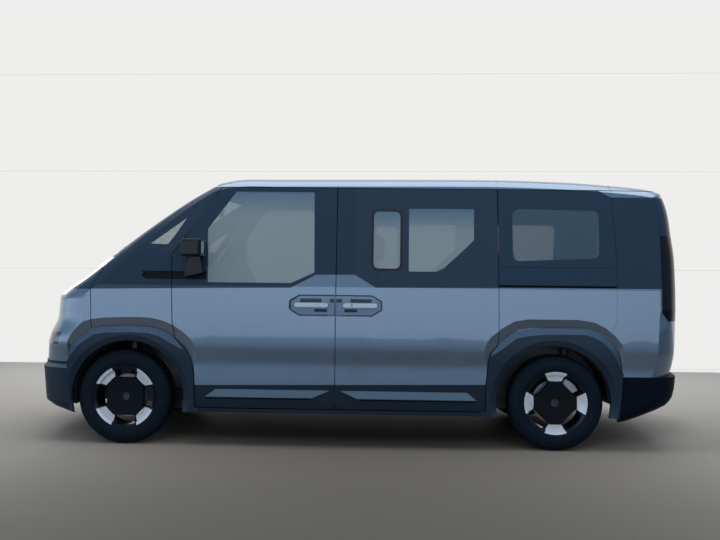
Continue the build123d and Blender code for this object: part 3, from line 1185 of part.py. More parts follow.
with BuildPart() as seat_cushions:
    for side in (-1, 1):
        add(cushion(SEAT_X - 30, SEAT_X + 490, side * SEAT_Y - SEAT_HALF, side * SEAT_Y + SEAT_HALF,
                    SEAT_CUSHION_Z + SEAT_CLEAR, SEAT_CUSHION_Z + 140, 40))
save(seat_cushions, "front_seat_cushions")

with BuildPart() as seat_backs:
    for side in (-1, 1):
        middle = side * SEAT_Y
        add(backrest(SEAT_X - 125, middle, SEAT_HALF, SEAT_CUSHION_Z + SEAT_CLEAR, 1310, 94, 14))
        add(cushion(SEAT_X - 300, SEAT_X - 200, middle - 140, middle + 140, 1330, 1500, 30))
        for post in (-60, 60):
            add(block(SEAT_X - 242, SEAT_X - 228, middle + post - 7, middle + post + 7, 1250, 1380))
save(seat_backs, "front_seat_backs")

BENCH_X = rx(440)
BENCH_HALF = SILL_IN_Y - 210.5
BENCH_CUSHION_Z = 610.0
with BuildPart() as bench_base:
    add(block(BENCH_X + 20, BENCH_X + 400, -BENCH_HALF + 90, BENCH_HALF - 90, FLOOR_Z, BENCH_CUSHION_Z))
    add(block(BENCH_X - 90, BENCH_X + 60, -BENCH_HALF - RECLINER, BENCH_HALF + RECLINER,
              BENCH_CUSHION_Z - 24, BENCH_CUSHION_Z))
    for edge in (-1, 1):
        inside = edge * (BENCH_HALF + SEAT_CLEAR)
        outside = edge * (BENCH_HALF + RECLINER)
        add(block(BENCH_X - 90, BENCH_X + 60, inside, outside, BENCH_CUSHION_Z - 24, BENCH_CUSHION_Z + 160))
save(bench_base, "rear_bench_base")

with BuildPart() as bench_cushion:
    add(cushion(BENCH_X, BENCH_X + 490, -BENCH_HALF, BENCH_HALF, BENCH_CUSHION_Z + SEAT_CLEAR,
                BENCH_CUSHION_Z + 140, 40))
save(bench_cushion, "rear_bench_cushion")

with BuildPart() as bench_back:
    add(backrest(BENCH_X - 95, 0, BENCH_HALF, BENCH_CUSHION_Z + SEAT_CLEAR, 1240, 94, 12))
    for y in (-410, 0, 410):
        add(cushion(BENCH_X - 210, BENCH_X - 120, y - 125, y + 125, 1262, 1400, 28))
        for post in (-50, 50):
            add(block(BENCH_X - 170, BENCH_X - 156, y + post - 7, y + post + 7, 1190, 1300))
save(bench_back, "rear_bench_back")

MIRROR_X = fx(-490)
with BuildPart() as mirror_left:
    add(plan_prism([(MIRROR_X - 72, HALF_WIDTH - 20), (MIRROR_X + 76, HALF_WIDTH - 20),
                    (MIRROR_X + 92, HALF_WIDTH + 50), (MIRROR_X + 66, HALF_WIDTH + 158),
                    (MIRROR_X - 52, HALF_WIDTH + 170), (MIRROR_X - 72, HALF_WIDTH + 156)], 1312, 1430))
    fillet(mirror_left.edges(), 14)
    add(block(MIRROR_X - 80, MIRROR_X - 66, HALF_WIDTH + 2, HALF_WIDTH + 148, 1328, 1414), mode=Mode.SUBTRACT)
    add(side_prism([(MIRROR_X - 62, 1200), (MIRROR_X + 66, 1172), (MIRROR_X + 62, 1214), (MIRROR_X + 34, 1320),
                    (MIRROR_X - 40, 1320)], near=HALF_WIDTH - 100, far=HALF_WIDTH + 40))
    add(outer, mode=Mode.SUBTRACT)
save(mirror_left, "door_mirror_left")

with BuildPart() as mirror_right:
    mirror(mirror_left.part, about=Plane.XZ)
save(mirror_right, "door_mirror_right")

with BuildPart() as cabin_mirror:
    add(behind_glass)
    add(block(fx(-486), fx(-466), -9, 9, 1700, 1900), mode=Mode.INTERSECT)
    add(cushion(fx(-500), fx(-470), -130, 130, 1655, 1725, 8))
save(cabin_mirror, "cabin_mirror")
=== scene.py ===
"""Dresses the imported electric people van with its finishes, trim, lamps, tyres and seats, in a plain studio.

All lengths are metres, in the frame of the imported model: +X to the nose, +Y to the left side, +Z up, with the origin
on the ground below the middle of the van. Colours are linear. A mask is 1 on what it names and 0 elsewhere.
"""
from __future__ import annotations

import json
import logging
import math
from dataclasses import dataclass
from enum import Enum
from functools import reduce
from typing import Any, Callable, Sequence

import bmesh
import bpy
from mathutils import Matrix, Vector

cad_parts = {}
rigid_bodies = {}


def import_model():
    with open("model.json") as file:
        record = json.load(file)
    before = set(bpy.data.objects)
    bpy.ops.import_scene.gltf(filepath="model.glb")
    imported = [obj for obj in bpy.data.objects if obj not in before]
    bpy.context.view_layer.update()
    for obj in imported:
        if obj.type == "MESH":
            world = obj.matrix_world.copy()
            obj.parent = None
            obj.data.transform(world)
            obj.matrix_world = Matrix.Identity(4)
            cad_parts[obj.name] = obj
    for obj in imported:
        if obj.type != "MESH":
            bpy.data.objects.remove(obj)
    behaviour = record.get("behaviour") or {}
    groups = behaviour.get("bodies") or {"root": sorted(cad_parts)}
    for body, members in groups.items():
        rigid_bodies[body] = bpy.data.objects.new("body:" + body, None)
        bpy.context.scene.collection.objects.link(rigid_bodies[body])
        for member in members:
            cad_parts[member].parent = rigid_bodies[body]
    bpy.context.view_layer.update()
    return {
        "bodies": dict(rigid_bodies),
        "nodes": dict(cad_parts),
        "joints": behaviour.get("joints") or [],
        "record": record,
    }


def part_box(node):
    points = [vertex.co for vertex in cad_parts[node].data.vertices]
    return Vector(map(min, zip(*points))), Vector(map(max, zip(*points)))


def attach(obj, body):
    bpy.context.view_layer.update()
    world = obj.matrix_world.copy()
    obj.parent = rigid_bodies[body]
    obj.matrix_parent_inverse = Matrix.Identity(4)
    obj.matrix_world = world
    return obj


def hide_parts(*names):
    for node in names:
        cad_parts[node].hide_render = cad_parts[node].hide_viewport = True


logging.basicConfig(level=logging.INFO, format="%(message)s")
log = logging.getLogger("van")

Colour = tuple[float, float, float]
Point = tuple[float, float, float]
Flat = tuple[float, float]

FRONT_AXLE_X = 1.5875
REAR_AXLE_X = -1.4075
WHEEL_Y = 0.81
WHEEL_Z = 0.33
DOOR_SPLIT_X = 0.118
BENCH_PLACES = (0.0, 0.41)
PANEL_HALF = 0.150  # half the width of a seat's middle panel
FRONT_BACK_SEAMS = (0.86, 1.02, 1.18)
BENCH_BACK_SEAMS = (0.84, 1.0, 1.12)
UPWARDS = (0.0, 0.0, 1.0)
BEYOND = 9.0  # farther than any part of the van
SIDES = (("left", 1.0), ("right", -1.0))
BODY = "body"


# ------------------------------------------------------------------ shader helpers
def operator(operation: str, swapped: bool = False) -> Callable[["Wire", Any], "Wire"]:
    """Makes a method for one of Python's operators.

    Args:
        operation: the Math node's operation.
        swapped: whether the wire is the operator's right side.

    Returns:
        A method that joins a wire and another value.
    """
    def join(wire: "Wire", other: Any) -> "Wire":
        """Joins the two values by a Math node."""
        return wire._math(operation, *((other, wire) if swapped else (wire, other)))
    return join


class Wire:
    """A shader socket that can be used in Python expressions."""

    __add__ = operator("ADD")
    __radd__ = operator("ADD", swapped=True)
    __sub__ = operator("SUBTRACT")
    __rsub__ = operator("SUBTRACT", swapped=True)
    __mul__ = operator("MULTIPLY")
    __rmul__ = operator("MULTIPLY", swapped=True)
    __truediv__ = operator("DIVIDE")
    __mod__ = operator("FLOORED_MODULO")
    either = operator("MAXIMUM")
    both = operator("MINIMUM")

    def __init__(self, recipe: "Recipe", socket: Any) -> None:
        """Wraps a socket of the recipe's node tree."""
        self.recipe = recipe
        self.socket = socket

    def _math(self, operation: str, *values: Any, clamp: bool = False) -> "Wire":
        """Adds a Math node.

        Args:
            operation: the Math node's operation.
            values: numbers or wires for its sockets, in order.
            clamp: keeps the result between 0 and 1.

        Returns:
            The node's result.
        """
        settings = {"operation": operation, "use_clamp": clamp}
        return self.recipe.node("ShaderNodeMath", settings, dict(enumerate(values)))

    def __abs__(self) -> "Wire":
        """The size without its sign."""
        return self._math("ABSOLUTE", self)

    def above(self, edge: Any, soft: float = 0.0) -> "Wire":
        """1 where the value lies above edge and 0 below it, turning over a width of soft."""
        if soft <= 0.0:
            return self._math("GREATER_THAN", self, edge)
        return ((self - edge) / soft + 0.5).clamped()

    def near(self, middle: Any, reach: float, soft: float = 0.0) -> "Wire":
        """1 where the value is within reach of middle."""
        return 1.0 - abs(self - middle).above(reach, soft)

    def clamped(self) -> "Wire":
        """The value kept between 0 and 1."""
        return self._math("ADD", self, 0.0, clamp=True)

    def sine(self) -> "Wire":
        """The sine of the value in radians."""
        return self._math("SINE", self)

    def length(self, other: "Wire") -> "Wire":
        """The length of a line that runs this far one way and that far across it."""
        return self._math("SQRT", self * self + other * other)


class Recipe:
    """The node tree of a material or of a world while it is being written."""

    def __init__(self, name: str, world: bpy.types.World | None = None) -> None:
        """Starts an empty tree.

        Args:
            name: the material's name.
            world: the world to write; x, y and z are then the direction looked in.
        """
        self.material = bpy.data.materials.new(name) if world is None else world
        self.material.use_nodes = True
        self.tree = self.material.node_tree
        self.tree.nodes.clear()
        self.output = self.tree.nodes.new("ShaderNodeOutputMaterial" if world is None else "ShaderNodeOutputWorld")
        self.coordinates = self.raw("ShaderNodeTexCoord", {}, {})
        self.place = Wire(self, self.coordinates.outputs["Object" if world is None else "Generated"])
        self.x, self.y, self.z = self._split(self.place)

    def facing(self) -> tuple[Wire, Wire, Wire]:
        """The surface's own normal, as its three parts."""
        return self._split(Wire(self, self.coordinates.outputs["Normal"]))

    def _split(self, vector: Wire) -> tuple[Wire, Wire, Wire]:
        """The three parts of a vector."""
        split = self.raw("ShaderNodeSeparateXYZ", {}, {0: vector})
        return Wire(self, split.outputs[0]), Wire(self, split.outputs[1]), Wire(self, split.outputs[2])

    def nowhere(self) -> Wire:
        """A mask that is 0 all over the van."""
        return self.z.above(BEYOND)

    def raw(self, kind: str, settings: dict[str, Any], sockets: dict[Any, Any]) -> Any:
        """Adds a node and fills its sockets.

        Args:
            kind: the node's type.
            settings: properties that are set before the sockets.
            sockets: numbers, colours or wires by socket name or index.

        Returns:
            The node.
        """
        made = self.tree.nodes.new(kind)
        for name, value in settings.items():
            setattr(made, name, value)
        for name, value in sockets.items():
            if isinstance(value, Wire):
                self.tree.links.new(value.socket, made.inputs[name])
            else:
                made.inputs[name].default_value = value
        return made

    def node(self, kind: str, settings: dict[str, Any], sockets: dict[Any, Any], out: Any = 0) -> Wire:
        """Adds a node as raw does, and returns one of its outputs."""
        return Wire(self, self.raw(kind, settings, sockets).outputs[out])

    def noise(self, scale: float, detail: float = 3.0) -> Wire:
        """Smooth noise in object space.

        Args:
            scale: cells in a metre.
            detail: octaves.

        Returns:
            A value around 0.5.
        """
        return self.node("ShaderNodeTexNoise", {}, {"Vector": self.place, "Scale": scale, "Detail": detail})

    def blend(self, factor: Any, low: Any, high: Any) -> Wire:
        """Mixes two colours.

        Args:
            factor: a mask, 0 for low and 1 for high.
            low: a colour or a wire.
            high: a colour or a wire.

        Returns:
            The mixed colour.
        """
        settings = {"data_type": "RGBA", "blend_type": "MIX"}
        return self.node("ShaderNodeMix", settings, {0: factor, 6: self._rgba(low), 7: self._rgba(high)}, 2)

    def shades(self, factor: Any, colour: Colour, low: float, high: float) -> Wire:
        """Mixes two shades of a colour.

        Args:
            factor: a mask, 0 for the first shade and 1 for the second.
            colour: the colour.
            low: how light the first shade is against it.
            high: how light the second one is.

        Returns:
            The mixed colour.
        """
        return self.blend(factor, scaled(colour, low), scaled(colour, high))

    @staticmethod
    def _rgba(colour: Any) -> Any:
        """A colour with its alpha, or the wire as it is."""
        return colour if isinstance(colour, Wire) else (*colour, 1.0)

    def bump(self, height: Wire, depth: float, strength: float = 1.0) -> Wire:
        """A normal bent by a height map of that depth in metres."""
        return self.node("ShaderNodeBump", {}, {"Height": height, "Distance": depth, "Strength": strength})

    def inside(self, across: Wire, upright: Wire, outline: Sequence[Flat], soft: float = 0.002) -> Wire:
        """A mask of what lies within a convex outline.

        Args:
            across: the first coordinate.
            upright: the second coordinate.
            outline: the corners, in order.
            soft: the width over which the mask turns.

        Returns:
            1 inside and 0 outside.
        """
        middle = (sum(p[0] for p in outline) / len(outline), sum(p[1] for p in outline) / len(outline))
        depths = []
        for (ax, az), (bx, bz) in zip(outline, (*outline[1:], outline[0])):
            length = math.hypot(bx - ax, bz - az)
            nx, nz = (az - bz) / length, (bx - ax) / length
            if (middle[0] - ax) * nx + (middle[1] - az) * nz < 0.0:
                nx, nz = -nx, -nz
            depths.append(across * nx + upright * nz - (ax * nx + az * nz))
        return reduce(Wire.both, depths).above(0.0, soft)

    def surface(self, **sockets: Any) -> bpy.types.Material:
        """Adds the main shader and finishes the material.

        Args:
            sockets: numbers or wires by socket name, written with underscores for spaces.

        Returns:
            The finished material.
        """
        named = {name.replace("_", " "): value for name, value in sockets.items()}
        return self.shown(self.raw("ShaderNodeBsdfPrincipled", {}, named))

    def shown(self, shader: Any) -> bpy.types.Material:
        """Leads a shader node to the output, and returns the finished material."""
        self.tree.links.new(shader.outputs[0], self.output.inputs[0])
        return self.material

    def switch(self, mask: Wire, low: Any, high: Any) -> Any:
        """Adds a Mix Shader node, which shows the node low where the mask is 0 and high where it is 1."""
        mix = self.raw("ShaderNodeMixShader", {}, {0: mask})
        self.tree.links.new(low.outputs[0], mix.inputs[1])
        self.tree.links.new(high.outputs[0], mix.inputs[2])
        return mix


def scaled(colour: Colour, share: float) -> Colour:
    """A colour made lighter or darker."""
    return (colour[0] * share, colour[1] * share, colour[2] * share)


# ------------------------------------------------------------------ finishes
class Panel(Enum):
    """Which body panel a coat of paint is for."""

    SIDE = "side"
    FENDER = "fender"
    DOOR = "door"
    NOSE = "nose"
    BONNET = "bonnet"
    ROOF = "roof"
    GATE = "gate"


@dataclass(frozen=True)
class BodyPaint:
    """Two-tone body paint: satin metallic below the waist line and on the roof, gloss black between them.

    Attributes:
        waist: the height of the waist line: at the van's middle, its slope and its curve along the van.
        kick_up: how far that line steps up round the gap between the two doors.
        kick_front: how far before the van's middle the step starts, and the length of its slope.
        kick_rear: how far behind the van's middle it ends, and the length of that slope.
        roof_edge: the height at which the roof's colour starts, and the same at the tail.
        roof_drop: where that height drops towards the tail, and how long the drop is.
        door_foot: the height of the moulded foot of the doors, and its slope.
        skin_y: how far out the skin starts at the mirror's slot, at the carrier's slot and at the handles.
        handle_half: half the length and half the height of a handle.
        lock: the middle between the two key holes, their distance from it, and their radius.
        upper_shade_patches: the height of the painted shade and dark reflections above the handles, then how far two of
            them lie from the door gap.
        lower_shade_patches: the height of the painted shade and dark reflections below the handles, and how far they
            lie from the door gap.
        pocket_floor_y: how far out the floor of the handle pockets lies.
        carrier_slot: the height of the slot in which the sliding door's carrier runs.
        mirror_slot: the height and the place along the van of the slot below the mirror.
        lit: how far out the light strip's outer half lies, and its height.

    Each of the last six gives a middle and half a size for every place in it.
    """

    silver: Colour = (0.175, 0.240, 0.325)
    black: Colour = (0.0165, 0.035, 0.062)
    foot: Colour = (0.0065, 0.014, 0.025)
    # painted sky reflection on the upward-facing rib of the moulded foot
    foot_sky_reflection: Colour = (0.075, 0.125, 0.175)
    lining: Colour = (0.034, 0.038, 0.045)
    headliner: Colour = (0.16, 0.175, 0.19)
    bright: Colour = (0.52, 0.57, 0.62)
    lamp: Colour = (0.90, 0.92, 0.94)
    # near black: painted shade inside the deep slots
    slot: Colour = (0.003, 0.005, 0.008)
    edge: float = 0.0015
    waist: Point = (1.1091, -0.012168, -0.002182)
    kick_up: float = 0.090
    kick_front: Flat = (0.431, 0.173)
    kick_rear: Flat = (0.159, 0.148)
    roof_edge: Flat = (1.811, 1.762)
    roof_drop: Flat = (-1.70, 0.09)
    door_foot: Flat = (0.4384, 0.0155)
    sill_top: float = 0.29
    skin_y: Point = (0.9125, 0.916, 0.905)
    handle_z: float = 0.986
    handle_x: float = 0.170
    handle_half: Flat = (0.1185, 0.0158)
    lock: Point = (0.125, 0.119, 0.0075)
    # places of painted shade and dark reflections in the handle pockets
    upper_shade_patches: tuple[Flat, Flat, Flat] = ((1.018, 0.0135), (0.175, 0.075), (0.0, 0.042))
    lower_shade_patches: tuple[Flat, Flat] = ((0.948, 0.0105), (0.105, 0.045))
    pocket_floor_y: Flat = (0.893, 0.012)
    carrier_slot: Flat = (1.133, 0.0085)
    mirror_slot: tuple[Flat, Flat] = ((1.182, 0.029), (1.2125, 0.2655))
    lit: tuple[Flat, Flat] = ((0.795, 0.043), (1.170, 0.135))

    def build(self, name: str, panel: Panel) -> bpy.types.Material:
        """Writes the paint.

        Args:
            name: the material's name.
            panel: the panel that it is for.

        Returns:
            The material.
        """
        r = Recipe(name)
        _, _, nz = r.facing()
        flake, grain = r.noise(1400.0, 1.0), r.noise(650.0, 2.0)
        dark, foot, handle = self._dark(r, panel), self._foot(r, panel), self._handle(r, panel)
        inner, slot = self._inner(r, panel), self._slot_shade(r, panel)
        plain = dark.either(foot).either(inner).either(slot)
        silver = r.shades(flake, self.silver, 0.92, 1.12)
        silver = r.blend(r.noise(1.1, 2.0) * 0.16, silver, scaled(self.silver, 1.35))
        base = r.blend(dark, silver, self.black)
        # painted shade and dark reflections in the floor of the handle pockets
        base = r.blend(self._pocket_shade(r, panel), base, scaled(self.silver, 0.16))
        base = r.blend(handle, base, self.bright)
        # the foot's upward-facing rib takes a lighter colour: a painted sky reflection
        base = r.blend(foot, base, r.blend(nz.above(0.12, 0.05) * r.z.above(0.30), self.foot, self.foot_sky_reflection))
        lining = self.headliner if panel is Panel.ROOF else self.lining
        base = r.blend(inner, base, r.shades(grain, lining, 0.85, 1.15))
        # painted shade inside the deep slots below the mirror and along the carrier's run
        base = r.blend(slot, base, self.slot)
        metal = (1.0 - plain) * 0.92
        rough = 0.30 + flake * 0.05 - dark * 0.24 + foot * 0.22 + inner * 0.3 - handle * 0.08 + slot * 0.5
        lamp: dict[str, Any] = {}
        if panel in (Panel.NOSE, Panel.FENDER):
            lit = self._lit(r)
            base = r.blend(lit, base, self.lamp)
            metal = metal * (1.0 - lit)
            lamp = {"Emission_Color": r.blend(lit, (0.0, 0.0, 0.0), self.lamp), "Emission_Strength": 0.75}
        normal = r.bump(r.noise(240.0, 1.0) * 0.16 + grain * inner, 0.0002, 0.4)
        return r.surface(Base_Color=base, Metallic=metal, Roughness=rough.clamped(),
                         Coat_Weight=(1.0 - plain).clamped(), Coat_Roughness=0.04, Specular_IOR_Level=0.25,
                         Normal=normal, **lamp)

    def _lit(self, r: Recipe) -> Wire:
        """The mask of the outer half of the light strip, on the corner beside the bonnet."""
        _, _, nz = r.facing()
        across, height = self.lit
        return abs(r.y).near(*across, 0.002) * nz.above(0.45) * r.z.near(*height, 0.003)

    def _slot_shade(self, r: Recipe, panel: Panel) -> Wire:
        """The mask of painted shade inside the deep slots: below the mirror, and where the sliding door's carrier runs.
        """
        if panel in (Panel.DOOR, Panel.FENDER):
            height, along = self.mirror_slot
            return r.z.near(*height) * r.x.near(*along) * (1.0 - abs(r.y).above(self.skin_y[0]))
        if panel is Panel.SIDE:
            return r.z.near(*self.carrier_slot) * (1.0 - abs(r.y).above(self.skin_y[1]))
        return r.nowhere()

    def _dark(self, r: Recipe, panel: Panel) -> Wire:
        """The mask of the gloss black band."""
        if panel in (Panel.ROOF, Panel.BONNET):
            return r.nowhere()
        (front, front_run), (rear, rear_run) = self.kick_front, self.kick_rear
        rise = ((front - r.x) / front_run).both((r.x + rear) / rear_run).clamped() * self.kick_up
        line = self.waist[0] + r.x * self.waist[1] + r.x * r.x * self.waist[2] + rise
        (top, rear_top), (drop_x, drop_run) = self.roof_edge, self.roof_drop
        drop = ((drop_x - r.x) / drop_run).clamped() * (top - rear_top)
        return r.z.above(line, self.edge) * (1.0 - r.z.above(top - drop, self.edge))

    def _foot(self, r: Recipe, panel: Panel) -> Wire:
        """The mask of the moulded foot of the doors and of the sill."""
        if panel is Panel.DOOR:
            height, slope = self.door_foot
            return 1.0 - r.z.above(height - r.x * slope, self.edge)
        if panel is Panel.SIDE:
            return 1.0 - r.z.above(self.sill_top, self.edge)
        return r.nowhere()

    def _handle(self, r: Recipe, panel: Panel) -> Wire:
        """The mask of the bright handle bars in the doors, less their key holes: a faint one and a clear one."""
        if panel is not Panel.DOOR:
            return r.nowhere()
        half_long, half_high = self.handle_half
        along = abs(abs(r.x - DOOR_SPLIT_X) - self.handle_x).above(half_long)
        bar = (1.0 - along) * r.z.near(self.handle_z, half_high) * abs(r.y).above(self.skin_y[2])
        middle, away, radius = self.lock
        outside = abs(abs(r.x - middle) - away).length(r.z - self.handle_z).above(radius, 0.001)
        return bar * (1.0 - (1.0 - outside) * (0.35 + (1.0 - r.x.above(DOOR_SPLIT_X)) * 0.65))

    def _pocket_shade(self, r: Recipe, panel: Panel) -> Wire:
        """The mask of the painted shade and dark reflections in the floor of the handle pockets, above and below the
        bars.
        """
        if panel is not Panel.DOOR:
            return r.nowhere()
        away = abs(r.x - DOOR_SPLIT_X)
        (high, outer, inner), (low, middle) = self.upper_shade_patches, self.lower_shade_patches
        upper = r.z.near(*high, 0.004) * away.near(*outer, 0.006).either(away.near(*inner, 0.004))
        lower = r.z.near(*low, 0.004) * away.near(*middle, 0.006)
        return upper.either(lower) * abs(r.y).near(*self.pocket_floor_y)

    def _inner(self, r: Recipe, panel: Panel) -> Wire:
        """The mask of the faces that look into the van."""
        nx, ny, nz = r.facing()
        if panel is Panel.ROOF:
            return 1.0 - nz.above(-0.05)
        if panel is Panel.BONNET:
            return 1.0 - nz.above(-0.25)
        if panel is Panel.GATE:
            return nx.above(0.2)
        if panel is Panel.NOSE:
            return 1.0 - nx.above(-0.35)
        out = ny * (r.y.above(0.0) * 2.0 - 1.0)
        return 1.0 - out.above(-0.15)


@dataclass(frozen=True)
class Plastic:
    """Moulded plastic with a fine grain."""

    colour: Colour
    roughness: float = 0.55
    grain: float = 900.0
    depth: float = 0.00025
    coat: float = 0.0
    shine: float = 0.5

    def build(self, name: str, dress_up: Callable[[Recipe, Wire], Wire] | None = None,
              relief: Callable[[Recipe], Wire] | None = None, relief_depth: float = 0.004) -> bpy.types.Material:
        """Writes the plastic.

        Args:
            name: the material's name.
            dress_up: changes the colour where the part has other areas.
            relief: a moulded pattern, as heights from 0 to 1.
            relief_depth: how deep the pattern is.

        Returns:
            The material.
        """
        r = Recipe(name)
        pebble = r.noise(self.grain, 3.0)
        cloud = r.noise(5.0, 3.0)
        base = r.shades(cloud, self.colour, 0.86, 1.14)
        if dress_up is not None:
            base = dress_up(r, base)
        rough = self.roughness - 0.05 + cloud * 0.1
        normal = r.bump(pebble, self.depth, 0.6)
        if relief is not None:
            height = relief(r)
            # painted shade in the low parts of the relief: slots, holes and gaps between slats
            base = r.blend((1.0 - height) * 0.75, base, scaled(self.colour, 0.15))
            normal = r.bump(height + pebble * (self.depth / relief_depth), relief_depth, 0.8)
        return r.surface(Base_Color=base, Roughness=rough, Normal=normal, Coat_Weight=self.coat,
                         Coat_Roughness=0.04, Specular_IOR_Level=self.shine)


@dataclass(frozen=True)
class Glazing:
    """Tinted safety glass with a black printed border where asked."""

    tint: Colour = (0.25, 0.32, 0.345)
    cover: float = 0.58
    fade: Flat = (1.60, 1.79)
    deep: Colour = (0.09, 0.18, 0.29)
    black: Colour = (0.0142, 0.031, 0.055)

    def build(self, name: str, clear: Callable[[Recipe], Wire] | None = None) -> bpy.types.Material:
        """Writes the glass.

        Args:
            name: the material's name.
            clear: makes a mask that is 1 on the see-through part; without it the whole pane is clear.

        Returns:
            The material.
        """
        r = Recipe(name)
        dust = r.noise(3.0, 4.0)
        low, high = self.fade
        base = r.blend(((r.z - low) / (high - low)).clamped(), self.tint, self.deep)
        base = r.blend(dust * 0.12, base, scaled(self.tint, 1.8))
        alpha: Any = self.cover - 0.02 + dust * 0.04
        window: Any = 1.0
        if clear is not None:
            window = clear(r)
            base = r.blend(window, self.black, base)
            alpha = (alpha + (1.0 - window)).clamped()
        return r.surface(Base_Color=base, Roughness=0.04, Alpha=alpha, IOR=1.5, Coat_Weight=window,
                         Coat_Roughness=0.02)


@dataclass(frozen=True)
class Metal:
    """Bare or coated metal with faint tool marks, or with a cast skin as far as cast says."""

    colour: Colour
    roughness: float = 0.35
    cast: float = 0.0

    def build(self, name: str, dress_up: Callable[[Recipe, Wire], Wire] | None = None) -> bpy.types.Material:
        """Writes the metal.

        Args:
            name: the material's name.
            dress_up: changes the colour where the part has other areas.

        Returns:
            The material.
        """
        r = Recipe(name)
        marks = r.noise(140.0, 4.0)
        base = r.shades(r.noise(7.0, 4.0), self.colour, 0.78, 1.12)
        if dress_up is not None:
            base = dress_up(r, base)
        rough = self.roughness - 0.08 + marks * 0.16
        depth = 0.00005 + self.cast * 0.0008
        return r.surface(Base_Color=base, Metallic=1.0 - 0.4 * self.cast, Roughness=rough,
                         Normal=r.bump(marks, depth, 0.5))


@dataclass(frozen=True)
class Lamp:
    """A lit lens."""

    colour: Colour
    glow: float
    ribs: float = 40.0
    coat: float = 1.0
    shine: float = 0.5

    def build(self, name: str, lit: Callable[[Recipe], Wire] | None = None,
              lit_colour: Colour = (1.0, 1.0, 1.0)) -> bpy.types.Material:
        """Writes the lens.

        Args:
            name: the material's name.
            lit: a mask of the lamp's bright elements.
            lit_colour: their colour.

        Returns:
            The material.
        """
        r = Recipe(name)
        bands = (r.z * (self.ribs * math.tau)).sine() * 0.5 + 0.5
        base = r.shades(bands * 0.25, self.colour, 1.0, 1.6)
        if lit is not None:
            base = r.blend(lit(r), base, lit_colour)
        return r.surface(Base_Color=base, Roughness=0.14, Emission_Color=base, Emission_Strength=self.glow,
                         Coat_Weight=self.coat, Coat_Roughness=0.03, Specular_IOR_Level=self.shine)


@dataclass(frozen=True)
class Cloth:
    """Woven seat cloth with darker side bolsters and sewn seams.

    Attributes:
        threads: how closely it is woven, in radians of a wave in a metre.
        stitch: the distance from one stitch to the next, and the space between them.
    """

    middle: Colour = (0.20, 0.205, 0.215)
    bolster: Colour = (0.075, 0.08, 0.09)
    thread: Colour = (0.42, 0.43, 0.45)
    threads: float = 2500.0
    seam_away: float = 0.008
    stitch: Flat = (0.007, 0.0025)

    def build(self, name: str, centres: Sequence[float], cross: Sequence[float]) -> bpy.types.Material:
        """Writes the cloth.

        Args:
            name: the material's name.
            centres: the middle of each seat, as a distance from the van's centre line.
            cross: the heights of sewn lines across a back.

        Returns:
            The material.
        """
        r = Recipe(name)
        gap = reduce(Wire.both, [abs(abs(r.y) - centre) for centre in centres])
        warp = (r.y * self.threads).sine() * 0.5 + 0.5
        weft = ((r.x + r.z) * self.threads).sine() * 0.5 + 0.5
        weave = warp * weft
        mottle = r.noise(55.0, 3.0)
        edge = gap.above(PANEL_HALF, 0.001)
        seam = gap.near(PANEL_HALF, 0.0035, 0.002)
        for line in cross:
            seam = seam.either(r.z.near(line, 0.003, 0.002) * (1.0 - edge))
        pitch, space = self.stitch
        stitch = gap.near(PANEL_HALF + self.seam_away, 0.0011) * ((r.x + r.z * 1.3) % pitch).above(space)
        base = r.shades(weave, self.middle, 0.75, 1.25)
        base = r.blend(edge, base, r.shades(mottle, self.bolster, 0.8, 1.2))
        base = r.blend(seam * 0.8, base, scaled(self.bolster, 0.3))
        base = r.blend(stitch, base, self.thread)
        rough = 0.86 - edge * 0.32
        height = weave * (1.0 - edge) + mottle * 0.6 - seam * 1.5
        return r.surface(Base_Color=base, Roughness=rough, Normal=r.bump(height, 0.0006, 0.7),
                         Sheen_Weight=0.2, Sheen_Roughness=0.4)


@dataclass(frozen=True)
class TyreRubber:
    """Tyre rubber with tread blocks cut round the running surface of one wheel.

    Attributes:
        tread_r: the radius from which it counts as running surface.
        grooves: how far the grooves that run round it lie from its middle.
        slant: how much the cuts between its blocks turn towards the shoulder.
        shoulder: the radius of the shoulder's notches and half their height.
        rings: the radius and half the width of each ring on the wall.
        ribbed: the radius of the wall's finely ribbed band and half its height.
    """

    centre: Point
    colour: Colour = (0.0022, 0.0058, 0.0112)
    tread_r: float = 0.3165
    grooves: Sequence[float] = (0.018, 0.053)
    blocks: float = 64.0
    slant: float = 9.0
    shoulder: Flat = (0.308, 0.0085)
    rings: Sequence[Flat] = ((0.2315, 0.0012), (0.2945, 0.001), (0.2385, 0.0007))
    ribbed: Flat = (0.288, 0.0048)
    rib: float = 0.0032

    def build(self, name: str) -> bpy.types.Material:
        """Writes the rubber for the tyre on that centre."""
        r = Recipe(name)
        dx, dz = r.x - self.centre[0], r.z - self.centre[2]
        dy = abs(r.y - self.centre[1])
        radius = dx.length(dz)
        angle = r.node("ShaderNodeMath", {"operation": "ARCTAN2"}, {0: dz, 1: dx})
        row = reduce(Wire.either, [dy.near(middle, 0.004, 0.002) for middle in self.grooves])
        block = (angle * (self.blocks / math.tau) + dy * self.slant) % 1.0
        sipe = abs(block - 0.5).above(0.42, 0.05) * dy.above(0.022, 0.003)
        cut = abs((block * 3.0) % 1.0 - 0.5).above(0.46, 0.03) * 0.35
        groove = row.either(sipe).either(cut) * radius.above(self.tread_r, 0.002)
        shoulder = radius.near(*self.shoulder, 0.003) * abs(block - 0.5).above(0.40, 0.06)
        rings = reduce(Wire.either, [radius.near(middle, half, 0.0008) for middle, half in self.rings])
        fine = abs((radius % self.rib) - self.rib / 2).above(0.0011, 0.0005) * radius.near(*self.ribbed)
        dust = r.noise(26.0, 4.0)
        base = r.shades(dust, self.colour, 1.0, 1.9)
        # painted shade in the grooves, cuts and shoulder notches, which are only bumps
        base = r.blend(groove.either(shoulder * 0.7), base, scaled(self.colour, 0.3))
        height = 1.0 - groove - shoulder * 0.5 + rings * 0.16 + fine * 0.05
        return r.surface(Base_Color=base, Roughness=0.60 + dust * 0.16, Normal=r.bump(height, 0.006, 0.9),
                         Specular_IOR_Level=0.14)


